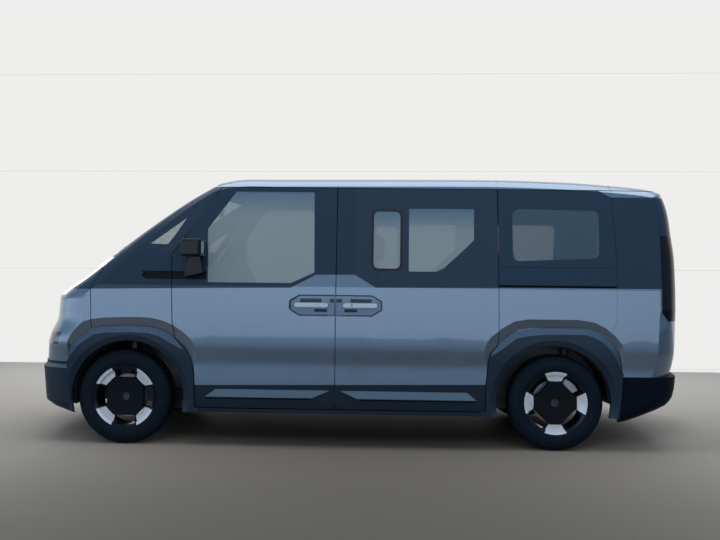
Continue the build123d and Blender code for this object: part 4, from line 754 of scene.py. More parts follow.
@dataclass(frozen=True)
class WheelFinish:
    """Gloss black wheel with machined spoke ends and a steel brake disc behind them.

    Attributes:
        face_y: how far outside the wheel's middle the spoke ends lie.
        spoke: the least and greatest radius of the machined ends.
        spoke_half: half the width of those ends at the least radius, and how fast it grows.
        disc_y: how far outside the wheel's middle the brake disc starts and ends.
        disc_r: the least and greatest radius of its rubbed face.
    """

    axle_x: float
    diagonal: bool
    black: Colour = (0.0035, 0.0065, 0.0095)
    machined: Colour = (0.62, 0.66, 0.72)
    disc: Colour = (0.30, 0.31, 0.33)
    face_y: float = 0.055
    spoke: Flat = (0.150, 0.2165)
    spoke_half: Flat = (0.0445, 0.607)
    disc_y: Flat = (-0.0235, 0.001)
    disc_r: Flat = (0.078, 0.151)

    def build(self, name: str) -> bpy.types.Material:
        """Writes the wheel's finish."""
        r = Recipe(name)
        dx, dz = r.x - self.axle_x, r.z - WHEEL_Z
        a, b = dx, dz
        if self.diagonal:
            a, b = (dx + dz) * math.sqrt(0.5), (dz - dx) * math.sqrt(0.5)
        along, aside = abs(a).either(abs(b)), abs(a).both(abs(b))
        radius = dx.length(dz)
        out = abs(r.y) - WHEEL_Y
        (root, tip), (half, flare) = self.spoke, self.spoke_half
        face = out.above(self.face_y, 0.001) * along.above(root, 0.001) * (1.0 - radius.above(tip, 0.001))
        face = face * (1.0 - (aside - (along - root) * flare).above(half, 0.0015))
        (disc_in, disc_out), (disc_low, disc_high) = self.disc_y, self.disc_r
        disc = (1.0 - out.above(disc_out)) * out.above(disc_in)
        disc = disc * (1.0 - radius.above(disc_high)) * radius.above(disc_low)
        turned = (radius * 5200.0).sine() * 0.5 + 0.5
        base = r.shades(r.noise(60.0, 2.0), self.black, 0.85, 1.15)
        base = r.blend(face, base, r.shades(turned * 0.25, self.machined, 1.0, 0.8))
        base = r.blend(disc, base, r.shades(turned * 0.4, self.disc, 1.0, 0.7))
        rough = 0.16 + face * 0.17 + disc * 0.16
        return r.surface(Base_Color=base, Metallic=disc * 0.6 + face * 0.25, Roughness=rough,
                         Specular_IOR_Level=0.22, Normal=r.bump(turned * face.either(disc), 0.00004, 0.4))


class Masks:
    """Masks and patterns of single parts. Lengths that end in half are half a width or height."""

    small_window: Sequence[Flat] = ((-0.1405, 1.245), (-0.1405, 1.645), (-0.3245, 1.645), (-0.3245, 1.245))
    large_window: Sequence[Flat] = ((-0.3855, 1.666), (-0.8375, 1.668), (-0.8365, 1.451), (-0.7815, 1.395),
                                    (-0.6295, 1.253), (-0.5745, 1.227), (-0.3855, 1.227))
    front_window: Sequence[Flat] = ((1.0205, 1.126), (1.0365, 1.513), (0.8385, 1.788), (0.2725, 1.788),
                                    (0.2595, 1.204), (0.4255, 1.126))
    vent_pane: Sequence[Flat] = ((1.425, 1.402), (1.178, 1.586), (1.262, 1.452), (1.306, 1.398))
    # pale blue: a painted sky reflection on the cladding's upward faces
    dust: Colour = (0.120, 0.205, 0.320)
    # painted light on the crown of each arch
    painted_crown_light: Colour = (0.021, 0.038, 0.062)
    sensor_y: float = 0.47
    sensor_z: float = 0.47
    carpet_pile: tuple[Colour, Colour] = ((0.012, 0.013, 0.015), (0.05, 0.052, 0.058))

    @classmethod
    def sliding(cls, r: Recipe) -> Wire:
        """The see-through parts of a sliding door's pane."""
        return r.inside(r.x, r.z, cls.small_window).either(r.inside(r.x, r.z, cls.large_window))

    @classmethod
    def front(cls, r: Recipe) -> Wire:
        """A front door's window inside its run channel."""
        (middle_x, middle_z), (share_x, share_z) = (0.64, 1.47), (0.972, 0.968)
        shrunk = [(middle_x + (x - middle_x) * share_x, middle_z + (z - middle_z) * share_z)
                  for x, z in cls.front_window]
        return r.inside(r.x, r.z, shrunk, 0.003)

    @classmethod
    def vent(cls, r: Recipe) -> Wire:
        """The see-through part of the small front pane."""
        return r.inside(r.x, r.z, cls.vent_pane)

    @staticmethod
    def screen(r: Recipe) -> Wire:
        """The windscreen inside its printed edge, whose sides lean in towards the roof."""
        low_z, high_z, level_z, half_at_level, lean = 1.395, 1.812, 1.348, 0.752, 0.157
        side = 1.0 - (abs(r.y) + (r.z - level_z) * lean).above(half_at_level, 0.008)
        return r.z.above(low_z, 0.01) * (1.0 - r.z.above(high_z, 0.006)) * side

    @staticmethod
    def rear_screen(r: Recipe) -> Wire:
        """The tailgate's window inside its printed edge."""
        middle_z, z_half, y_half, soft = 1.415, 0.195, 0.558, 0.006
        return r.z.near(middle_z, z_half, soft) * (1.0 - abs(r.y).above(y_half, soft))

    @staticmethod
    def louvres(r: Recipe) -> Wire:
        """Level slats, as heights."""
        pitch, slat_half = 0.028, 0.0052
        return abs((r.z % pitch) - pitch / 2).above(slat_half, 0.003)

    @staticmethod
    def cowl_slots(r: Recipe) -> Wire:
        """Cooling slots that run across the cowl, as heights."""
        pitch, slot_half, row, row_half, soft = 0.016, 0.0028, 0.2, 0.082, 0.002
        return 1.0 - (r.x % pitch).near(pitch / 2, slot_half, soft) * abs(r.y % row - row / 2).near(0.0, row_half, soft)

    @staticmethod
    def speaker_holes(r: Recipe) -> Wire:
        """Small holes of a speaker grille, as heights."""
        pitch, hole_half, soft = 0.005, 0.0015, 0.0004
        return 1.0 - (r.x % pitch).near(pitch / 2, hole_half, soft) * (r.z % pitch).near(pitch / 2, hole_half, soft)

    @classmethod
    def sky_sheen_and_lit_crown(cls, r: Recipe, base: Wire) -> Wire:
        """Arch cladding: a pale painted sky reflection where it leans up, mottled by noise, and painted light over the
        crown of each arch, lighter towards its top.
        """
        _, _, nz = r.facing()
        crown_z, crown_run = 0.60, 0.16
        # painted light: the crown of each arch is lighter towards its top
        base = r.blend(((r.z - crown_z) / crown_run).clamped() * 0.85, base, cls.painted_crown_light)
        # painted sky reflection on faces that lean up, mottled by noise
        return r.blend((nz * 1.3).clamped().both(0.42) * (0.5 + r.noise(9.0, 4.0) * 0.4), base, cls.dust)

    @classmethod
    def ledge_highlight(cls, r: Recipe, base: Wire) -> Wire:
        """Front bumper: a painted highlight along its upward ledge, and round parking sensors."""
        ledge_z, ledge_half = 0.5385, 0.0125
        # painted highlight along the bumper's ledge that faces up
        return cls.sensors(r, r.blend(r.z.near(ledge_z, ledge_half, 0.002), base, (0.085, 0.115, 0.15)), 1.0)

    @classmethod
    def sensors(cls, r: Recipe, base: Wire, end: float) -> Wire:
        """Rings of the parking sensors in a bumper at that end of the van: two on its face and one on each side."""
        face_x, side_x, face_r, side_r = 2.1, 2.02, 0.0125, 0.0105
        across = abs(abs(r.y) - cls.sensor_y) + (1.0 - (r.x * end).above(face_x)) * BEYOND
        facing = across.length(r.z - cls.sensor_z)
        side = abs(r.x * end - side_x).length(r.z - cls.sensor_z)
        ring = facing.near(face_r, 0.0012).either(side.near(side_r, 0.001))
        return r.blend(ring * 0.85, base, (0.002, 0.003, 0.004))

    @classmethod
    def rear_bumper(cls, r: Recipe, base: Wire) -> Wire:
        """Rear bumper: parking sensors and two red reflectors."""
        middle_y, y_half, middle_z, z_half, face_x, soft = 0.60, 0.085, 0.405, 0.014, 2.22, 0.001
        red = r.z.near(middle_z, z_half, soft) * abs(r.y).near(middle_y, y_half, soft) * (0.0 - r.x).above(face_x)
        return cls.sensors(r, r.blend(red, base, (0.16, 0.006, 0.008)), -1.0)

    @staticmethod
    def projectors(r: Recipe) -> Wire:
        """The bright elements of a headlamp, in a row."""
        first_y, pitch, cell_half, row_y, row_half, row_z = 0.60, 0.075, 0.024, 0.705, 0.11, 0.733
        cell = abs((abs(r.y) - first_y) % pitch - pitch / 2)
        return cell.near(0.0, cell_half, 0.002) * r.z.near(row_z, 0.020, 0.002) * abs(r.y).near(row_y, row_half)

    @staticmethod
    def tail_bars(r: Recipe) -> Wire:
        """The bright line in a tail lamp, on what faces straight back."""
        nx, _, _ = r.facing()
        line_x, middle_z, z_half = 2.222, 1.2, 0.26
        line = (0.0 - r.x).near(line_x, 0.006, 0.002) * r.z.near(middle_z, z_half, 0.004)
        return line * (0.0 - nx).above(0.80, 0.06)

    @staticmethod
    def dash_band(r: Recipe, base: Wire) -> Wire:
        """Dashboard: a paler band with air slots, and the glove box's joint."""
        band_z, band_half, band_to_x, joint_z, joint_y = 1.142, 0.016, 1.10, 1.05, 0.2
        band = r.z.near(band_z, band_half, 0.002) * (1.0 - r.x.above(band_to_x))
        slots = (r.y % 0.012).above(0.004) * (abs(r.y) % 0.6).near(0.3, 0.10)
        joint = r.z.near(joint_z, 0.0015).either(abs(r.y).near(joint_y, 0.0012) * (1.0 - r.z.above(joint_z)))
        base = r.blend(band, base, (0.11, 0.115, 0.12))
        return r.blend((band * slots).either(joint), base, (0.006, 0.006, 0.007))

    @staticmethod
    def caliper(r: Recipe, base: Wire) -> Wire:
        """Front knuckle: the brake caliper, behind the axle on it, is bright."""
        return r.blend((FRONT_AXLE_X - 0.098 - r.x).above(0.0), base, (0.42, 0.44, 0.47))

    @classmethod
    def carpet(cls, r: Recipe, base: Wire) -> Wire:
        """Floor and bulkhead: dark carpet on the faces that look into the cabin."""
        nx, _, nz = r.facing()
        inner = nz.above(0.4).either(1.0 - nx.above(-0.4)) * r.z.above(0.4)
        return r.blend(inner, base, r.blend(r.noise(420.0, 3.0), *cls.carpet_pile))


class Finishes:
    """Every finish of the van, made once."""

    def __init__(self) -> None:
        """Writes the materials."""
        self._write_paint_and_plastic()
        self._write_glass_and_lamps()
        self._write_metal()
        self._write_cloth()

    def _write_paint_and_plastic(self) -> None:
        """Writes the body's paint and every plastic and rubber."""
        paint = BodyPaint()
        self.paint = {panel: paint.build(f"body paint {panel.value}", panel) for panel in Panel}
        cladding = Plastic((0.0075, 0.0185, 0.0350), 0.58, 700.0, shine=0.30)
        self.cladding = cladding.build("cladding plastic", Masks.sky_sheen_and_lit_crown)
        self.front_bumper = cladding.build("front bumper plastic", Masks.ledge_highlight)
        rear_bumper = Plastic((0.0012, 0.0048, 0.0115), 0.58, 700.0, shine=0.08)
        self.rear_bumper = rear_bumper.build("rear bumper plastic", Masks.rear_bumper)
        trim = Plastic((0.010, 0.011, 0.013), 0.5)
        self.trim = trim.build("black trim plastic")
        self.grille = trim.build("grille plastic", relief=Masks.louvres, relief_depth=0.008)
        self.cowl = trim.build("cowl plastic", relief=Masks.cowl_slots)
        self.speaker = trim.build("speaker plastic", relief=Masks.speaker_holes, relief_depth=0.002)
        self.rubber = Plastic((0.006, 0.007, 0.009), 0.65, 300.0).build("seal rubber")
        self.gloss = Plastic((0.0075, 0.0125, 0.019), 0.09, 50.0, 0.0, 1.0).build("gloss black")
        self.pillar = Plastic((0.0165, 0.035, 0.062), 0.22, 50.0, 0.0, shine=0.25).build("pillar black")
        self.mirror_shell = Plastic((0.004, 0.007, 0.011), 0.13, 50.0, 0.0, shine=0.22).build("mirror shell")
        self.headliner = Plastic((0.16, 0.175, 0.19), 0.9, 900.0, 0.0004).build("headliner cloth")
        self.felt = Plastic((0.008, 0.010, 0.013), 0.95, 350.0, 0.0015).build("arch liner felt")
        self.dash = Plastic((0.05, 0.052, 0.056), 0.6).build("dash plastic", Masks.dash_band)
        self.seat_shell = Plastic((0.03, 0.032, 0.036), 0.6).build("seat shell plastic")
        self.plate = Plastic((0.62, 0.62, 0.60), 0.45, 200.0, 0.00005, 0.3).build("blank plate")

    def _write_glass_and_lamps(self) -> None:
        """Writes the panes and the lamps' lenses."""
        dark_tint = (0.055, 0.105, 0.155)
        self.side_glass = Glazing(fade=(1.50, 1.66)).build("sliding door glass", Masks.sliding)
        self.door_glass = Glazing().build("front door glass", Masks.front)
        self.quarter_glass = Glazing(dark_tint, 0.50, deep=dark_tint).build("quarter glass")
        self.rear_glass = Glazing(dark_tint, 0.62, deep=dark_tint).build("rear screen glass", Masks.rear_screen)
        self.vent_glass = Glazing((0.17, 0.22, 0.26), 0.42).build("vent glass", Masks.vent)
        self.screen_glass = Glazing((0.16, 0.2, 0.24), 0.25).build("windscreen glass", Masks.screen)
        self.white_lamp = Lamp((0.90, 0.92, 0.94), 0.75, 20.0).build("lit light strip")
        headlamp = Lamp((0.018, 0.028, 0.042), 0.02, 60.0)
        self.headlamp = headlamp.build("headlamp lens", Masks.projectors, (0.70, 0.75, 0.80))
        red_lamp = Lamp((0.0025, 0.003, 0.008), 0.02, 30.0, 0.0, 0.25)
        self.red_lamp = red_lamp.build("tail lamp lens", Masks.tail_bars, (0.30, 0.010, 0.012))

    def _write_metal(self) -> None:
        """Writes the wheels and every metal."""
        self.front_wheel = WheelFinish(FRONT_AXLE_X, True).build("front wheel finish")
        self.rear_wheel = WheelFinish(REAR_AXLE_X, False).build("rear wheel finish")
        self.steel = Metal((0.10, 0.10, 0.11), 0.5).build("coated steel", Masks.carpet)
        self.chrome = Metal((0.62, 0.64, 0.67), 0.16).build("bright steel")
        self.cast = Metal((0.10, 0.105, 0.115), 0.6, 1.0).build("cast iron")
        self.knuckle = Metal((0.10, 0.105, 0.115), 0.5, 0.8).build("cast knuckle", Masks.caliper)
        self.caliper = Metal((0.46, 0.48, 0.51), 0.42, 0.5).build("brake caliper")
        self.alloy = Metal((0.42, 0.43, 0.45), 0.5, 0.6).build("cast alloy")
        self.battery = Metal((0.22, 0.23, 0.25), 0.45).build("battery case")
        self.mirror = Metal((0.78, 0.82, 0.86), 0.10).build("mirror silvering")

    def _write_cloth(self) -> None:
        """Writes the seats' cloth and the belts' webbing."""
        cloth = Cloth()
        self.front_cloth = cloth.build("front seat cloth", (0.3905,), FRONT_BACK_SEAMS)
        self.bench_cloth = cloth.build("bench cloth", BENCH_PLACES, BENCH_BACK_SEAMS)
        self.belt = Plastic((0.018, 0.019, 0.021), 0.8, 1500.0, 0.0006).build("belt webbing")


def dress(node: Any, material: bpy.types.Material) -> None:
    """Gives a node or a piece one material."""
    node.data.materials.clear()
    node.data.materials.append(material)


# ------------------------------------------------------------------ modelling helpers
def linked(name: str, data: Any) -> bpy.types.Object:
    """Puts a mesh, a lamp or a camera into the scene as an object of that name."""
    made = bpy.data.objects.new(name, data)
    bpy.context.scene.collection.objects.link(made)
    return made


def mesh_of(bm: Any, name: str) -> bpy.types.Mesh:
    """Turns a modelled shape into a mesh of that name and frees it."""
    mesh = bpy.data.meshes.new(name)
    bm.to_mesh(mesh)
    bm.free()
    return mesh


class Shape:
    """A mesh while it is being modelled. Edges that turn by more degrees than sharp stay crisp."""

    sharp: float = 38.0

    def __init__(self) -> None:
        """Starts empty."""
        self.bm = bmesh.new()

    def block(self, low: Point, high: Point, bevel: float = 0.0, segments: int = 3,
              turn: Matrix | None = None) -> "Shape":
        """Adds a box with rounded edges.

        Args:
            low: its lowest corner.
            high: its highest corner.
            bevel: the radius of its edges.
            segments: facets round each edge.
            turn: a rotation about the box's middle.

        Returns:
            This shape.
        """
        part = bmesh.new()
        bmesh.ops.create_cube(part, size=1.0)
        size = Vector(high) - Vector(low)
        bmesh.ops.scale(part, vec=size, verts=part.verts)
        if bevel:
            bmesh.ops.bevel(part, geom=part.edges, offset=bevel, segments=segments, affect="EDGES",
                            profile=0.5, material=-1, clamp_overlap=True)
        place = Matrix.Translation((Vector(low) + Vector(high)) / 2)
        if turn is not None:
            place = place @ turn
        bmesh.ops.transform(part, matrix=place, verts=part.verts)
        return self._take(part)

    def rod(self, start: Point, end: Point, radius: float, end_radius: float | None = None,
            segments: int = 24, bevel: float = 0.0) -> "Shape":
        """Adds a round rod between two points.

        Args:
            start: the middle of one end.
            end: the middle of the other.
            radius: its radius at the start.
            end_radius: its radius at the end, where it tapers.
            segments: facets round it.
            bevel: the radius of its end edges.

        Returns:
            This shape.
        """
        part = bmesh.new()
        along = Vector(end) - Vector(start)
        bmesh.ops.create_cone(part, cap_ends=True, segments=segments, radius1=radius,
                              radius2=radius if end_radius is None else end_radius, depth=along.length)
        if bevel:
            rims = [e for e in part.edges if any(len(f.verts) > 4 for f in e.link_faces)]
            bmesh.ops.bevel(part, geom=rims, offset=bevel, segments=2, affect="EDGES", profile=0.5,
                            material=-1, clamp_overlap=True)
        turn = along.to_track_quat("Z", "Y").to_matrix().to_4x4()
        middle = (Vector(start) + Vector(end)) / 2
        bmesh.ops.transform(part, matrix=Matrix.Translation(middle) @ turn, verts=part.verts)
        return self._take(part)

    def turned(self, profile: Sequence[Flat], centre: Point, start: float, sweep: float,
               steps: int = 24) -> "Shape":
        """Adds a shape turned part of the way about a line across the van.

        Args:
            profile: (radius, y) corners of its section.
            centre: a point on the line; its y is the zero of the profile's y.
            start: where it starts, in radians up from the nose.
            sweep: how far it turns.
            steps: facets along the turn.

        Returns:
            This shape.
        """
        part = bmesh.new()
        way = Vector((math.cos(start), 0.0, math.sin(start)))
        ring = [part.verts.new(Vector(centre) + way * radius + Vector((0.0, y, 0.0))) for radius, y in profile]
        edges = self._loop(part, ring)
        bmesh.ops.spin(part, geom=ring + edges, cent=centre, axis=(0.0, -1.0, 0.0), angle=sweep, steps=steps,
                       use_merge=False)
        bmesh.ops.holes_fill(part, edges=[e for e in part.edges if e.is_boundary], sides=0)
        return self._take(part)

    def swept(self, section: Sequence[Flat], path: Sequence[Point], side: Point) -> "Shape":
        """Adds a strip of constant section along a path.

        Args:
            section: (out, across) corners of its closed section.
            path: the points that it follows.
            side: the direction in which the section's across runs.

        Returns:
            This shape.
        """
        part = bmesh.new()
        across = Vector(side).normalized()
        rings = []
        for index, point in enumerate(path):
            before = Vector(path[max(index - 1, 0)])
            after = Vector(path[min(index + 1, len(path) - 1)])
            out = (after - before).cross(across).normalized()
            rings.append([part.verts.new(Vector(point) + out * o + across * a) for o, a in section])
        loops = [self._loop(part, ring) for ring in rings]
        for first, second in zip(loops, loops[1:]):
            bmesh.ops.bridge_loops(part, edges=first + second)
        part.faces.new(rings[0])
        part.faces.new(rings[-1])
        return self._take(part)

    @staticmethod
    def _loop(part: Any, ring: Sequence[Any]) -> list[Any]:
        """Joins vertices by edges into a closed loop."""
        return [part.edges.new((ring[i], ring[(i + 1) % len(ring)])) for i in range(len(ring))]

    def _take(self, part: Any) -> "Shape":
        """Joins a finished mesh to this one, with its faces turned outwards."""
        bmesh.ops.remove_doubles(part, verts=part.verts, dist=1e-6)
        bmesh.ops.recalc_face_normals(part, faces=part.faces)
        mesh = mesh_of(part, "part")
        self.bm.from_mesh(mesh)
        bpy.data.meshes.remove(mesh)
        return self

    def on_side(self, sign: float) -> "Shape":
        """Mirrors the whole shape to the van's right side where sign is below 0."""
        if sign < 0.0:
            bmesh.ops.scale(self.bm, vec=(1.0, -1.0, 1.0), verts=self.bm.verts)
            bmesh.ops.recalc_face_normals(self.bm, faces=self.bm.faces)
        return self

    def both_sides(self) -> "Shape":
        """Adds a mirrored copy on the van's other side."""
        copy = bmesh.ops.duplicate(self.bm, geom=list(self.bm.verts) + list(self.bm.edges) + list(self.bm.faces))
        fresh = [g for g in copy["geom"] if isinstance(g, bmesh.types.BMVert)]
        bmesh.ops.scale(self.bm, vec=(1.0, -1.0, 1.0), verts=fresh)
        bmesh.ops.reverse_faces(self.bm, faces=[g for g in copy["geom"] if isinstance(g, bmesh.types.BMFace)])
        return self

    def piece(self, name: str, body: str, material: bpy.types.Material, slot: str) -> bpy.types.Object:
        """Turns the shape into a piece of the van, dresses it and lets it ride on its body.

        Args:
            name: the piece's name.
            body: the body it moves with.
            material: its finish.
            slot: the record's material slot for it; not used.

        Returns:
            The piece.
        """
        mesh = mesh_of(self.bm, name)
        mesh.shade_smooth()
        mesh.set_sharp_from_angle(angle=math.radians(self.sharp))
        piece = linked(name, mesh)
        dress(piece, material)
        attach(piece, body)
        log.info("%s: %d faces on %s", name, len(mesh.polygons), body)
        return piece


# ------------------------------------------------------------------ seats
@dataclass(frozen=True)
class Pad:
    """A padded block of a seat, before it swells: a box that may lean, taper and carry bolsters.

    Attributes:
        thin: how much thinner a back is at the top.
        bolster_from: where the side bolsters start, as a share of the way to the pad's side.
        swell: the farthest that a point moves as it swells.
        start: how far inside the box it starts.
        seams: how far the lengthwise seams lie from each place's middle.
        cross: where the seams across it lie: heights on a back, places along the van on a cushion.
        places: the middle of each seat on it, as a distance from the centre line.
    """

    name: str
    low: Point
    high: Point
    lean: float = 0.0
    taper: float = 1.0
    thin: float = 0.0
    bolster: float = 0.0
    bolster_from: float = 0.7
    voxel: float = 0.010
    swell: float = 0.014
    start: float = 0.010
    upright: bool = False
    seams: Sequence[float] = ()
    cross: Sequence[float] = ()
    places: Sequence[float] = (0.0,)
    pressure: float = 4.0
    swell_frames: int = 20
    seam_width: float = 0.008
    seam_depth: float = 0.007

    def model(self) -> bpy.types.Object:
        """Models, swells and sews the pad.

        Returns:
            The pad's object, not yet dressed.
        """
        bm = bmesh.new()
        bmesh.ops.create_cube(bm, size=2.0)
        bmesh.ops.bevel(bm, geom=bm.edges, offset=0.34, segments=4, affect="EDGES", profile=0.5, material=-1)
        bmesh.ops.subdivide_edges(bm, edges=bm.edges, cuts=3, use_grid_fill=True)
        bmesh.ops.triangulate(bm, faces=bm.faces)
        low = Vector(self.low) + Vector((self.start,) * 3)
        high = Vector(self.high) - Vector((self.start,) * 3)
        place = self._on_back if self.upright else self._on_cushion
        for vert in bm.verts:
            vert.co = place(vert.co.copy(), (high + low) / 2, (high - low) / 2)
        piece = linked(self.name, mesh_of(bm, self.name))
        remesh = piece.modifiers.new("skin", "REMESH")
        remesh.mode = "VOXEL"
        remesh.voxel_size = self.voxel
        self._apply(piece)
        self._swell(piece)
        finer = piece.modifiers.new("fine", "SUBSURF")
        finer.levels = finer.render_levels = 1
        self._apply(piece)
        self._sew(piece.data)
        piece.data.shade_smooth()
        return piece

    def _on_back(self, unit: Vector, middle: Vector, half: Vector) -> Vector:
        """Places a point of the unit box on a back, which leans, tapers, thins and carries bolsters in front.

        Args:
            unit: the point.
            middle: the pad's middle.
            half: half its sizes.

        Returns:
            The point's place.
        """
        up = (unit.z + 1) / 2
        width = 1.0 - (1.0 - self.taper) * up
        depth = unit.x * half.x + (self.thin * up if unit.x < 0 else 0.0)
        rise = self.bolster * self._bolster_share(unit.y) * max(unit.x, 0.0)
        z = middle.z + unit.z * half.z
        x = middle.x + depth + rise - math.tan(self.lean) * (z - self.low[2])
        return Vector((x, middle.y + unit.y * half.y * width, z))

    def _on_cushion(self, unit: Vector, middle: Vector, half: Vector) -> Vector:
        """Places a point of the unit box on a cushion, which is low, with bolsters that fall towards its front.

        Args:
            unit: the point.
            middle: the pad's middle.
            half: half its sizes.

        Returns:
            The point's place.
        """
        height, sink, front_from, front_share = 0.86, 0.14, 0.45, 0.9
        rise = self.bolster * self._bolster_share(unit.y) * max(unit.z, 0.0)
        fall = self.bolster * front_share * max(0.0, unit.x - front_from) ** 2 * max(unit.z, 0.0)
        z = middle.z + unit.z * half.z * height - sink * half.z + rise - fall
        return Vector((middle.x + unit.x * half.x, middle.y + unit.y * half.y, z))

    def _bolster_share(self, across: float) -> float:
        """How much of the bolster's height a place across the pad has."""
        share = (abs(across) - self.bolster_from) / (1.0 - self.bolster_from)
        return math.sin(max(0.0, min(1.0, share)) * math.pi * 0.8)

    @staticmethod
    def _apply(piece: bpy.types.Object) -> None:
        """Replaces the piece's mesh with its evaluated one and drops its modifiers."""
        graph = bpy.context.evaluated_depsgraph_get()
        mesh = bpy.data.meshes.new_from_object(piece.evaluated_get(graph), depsgraph=graph)
        piece.modifiers.clear()
        old = piece.data
        piece.data = mesh
        bpy.data.meshes.remove(old)

    def _swell(self, piece: bpy.types.Object) -> None:
        """Blows the pad up with the cloth solver and caps how far each point moves."""
        before = [v.co.copy() for v in piece.data.vertices]
        cloth = piece.modifiers.new("cloth", "CLOTH")
        cloth.settings.quality = 4
        cloth.settings.use_pressure = True
        cloth.settings.uniform_pressure_force = self.pressure
        cloth.settings.effector_weights.gravity = 0.0
        cloth.collision_settings.use_collision = False
        cloth.collision_settings.use_self_collision = False
        cloth.point_cache.frame_start = 1
        cloth.point_cache.frame_end = self.swell_frames
        scene = bpy.context.scene
        for frame in range(1, self.swell_frames + 1):
            scene.frame_set(frame)
        graph = bpy.context.evaluated_depsgraph_get()
        blown = [v.co.copy() for v in piece.evaluated_get(graph).data.vertices]
        piece.modifiers.clear()
        scene.frame_set(1)
        for vert, old, new in zip(piece.data.vertices, before, blown):
            step = new - old
            if step.length > self.swell:
                step *= self.swell / step.length
            moved = old + step
            moved.z = max(moved.z, self.low[2])
            vert.co = moved

    def _sew(self, mesh: bpy.types.Mesh) -> None:
        """Draws the sewn channels in: lengthwise at seams from each place, and across at cross."""
        front_from, front_run, cross_share, least = 0.25, 0.3, 0.75, 0.01
        moves = []
        for vert in mesh.vertices:
            front = vert.normal.x if self.upright else vert.normal.z
            if front < front_from:
                continue
            across = min(abs(abs(vert.co.y) - place) for place in self.places)
            pull = max((self._pull(across - seam) for seam in self.seams), default=0.0)
            if self.seams and across < max(self.seams):
                along = vert.co.z if self.upright else vert.co.x
                pull = max([pull, *(cross_share * self._pull(along - line) for line in self.cross)])
            if pull > least:
                share = min(1.0, (front - front_from) / front_run)
                moves.append((vert.index, vert.normal * (-self.seam_depth * pull * share)))
        for index, step in moves:
            mesh.vertices[index].co += step

    def _pull(self, away: float) -> float:
        """How strongly a seam draws the cloth in at that distance from it, 1 on the seam."""
        return math.exp(-((away / self.seam_width) ** 2))


@dataclass(frozen=True)
class Posts:
    """The bright posts of one row of head restraints, with their guide sleeves."""

    name: str
    x: float
    foot: float
    top: float
    sleeve: float
    middles: Sequence[float]
    apart: float
    radius: float = 0.006
    sleeve_r: Flat = (0.013, 0.0105)
    sleeve_high: float = 0.022

    def build(self, material: bpy.types.Material) -> None:
        """Adds the whole row as one piece of that finish."""
        row = Shape()
        for middle in self.middles:
            for y in (middle - self.apart, middle + self.apart):
                row.rod((self.x, y, self.foot), (self.x, y, self.top), self.radius, segments=20)
                row.rod((self.x, y, self.sleeve), (self.x, y, self.sleeve + self.sleeve_high), *self.sleeve_r,
                        segments=20, bevel=0.002)
        row.piece(self.name, BODY, material, "steel")


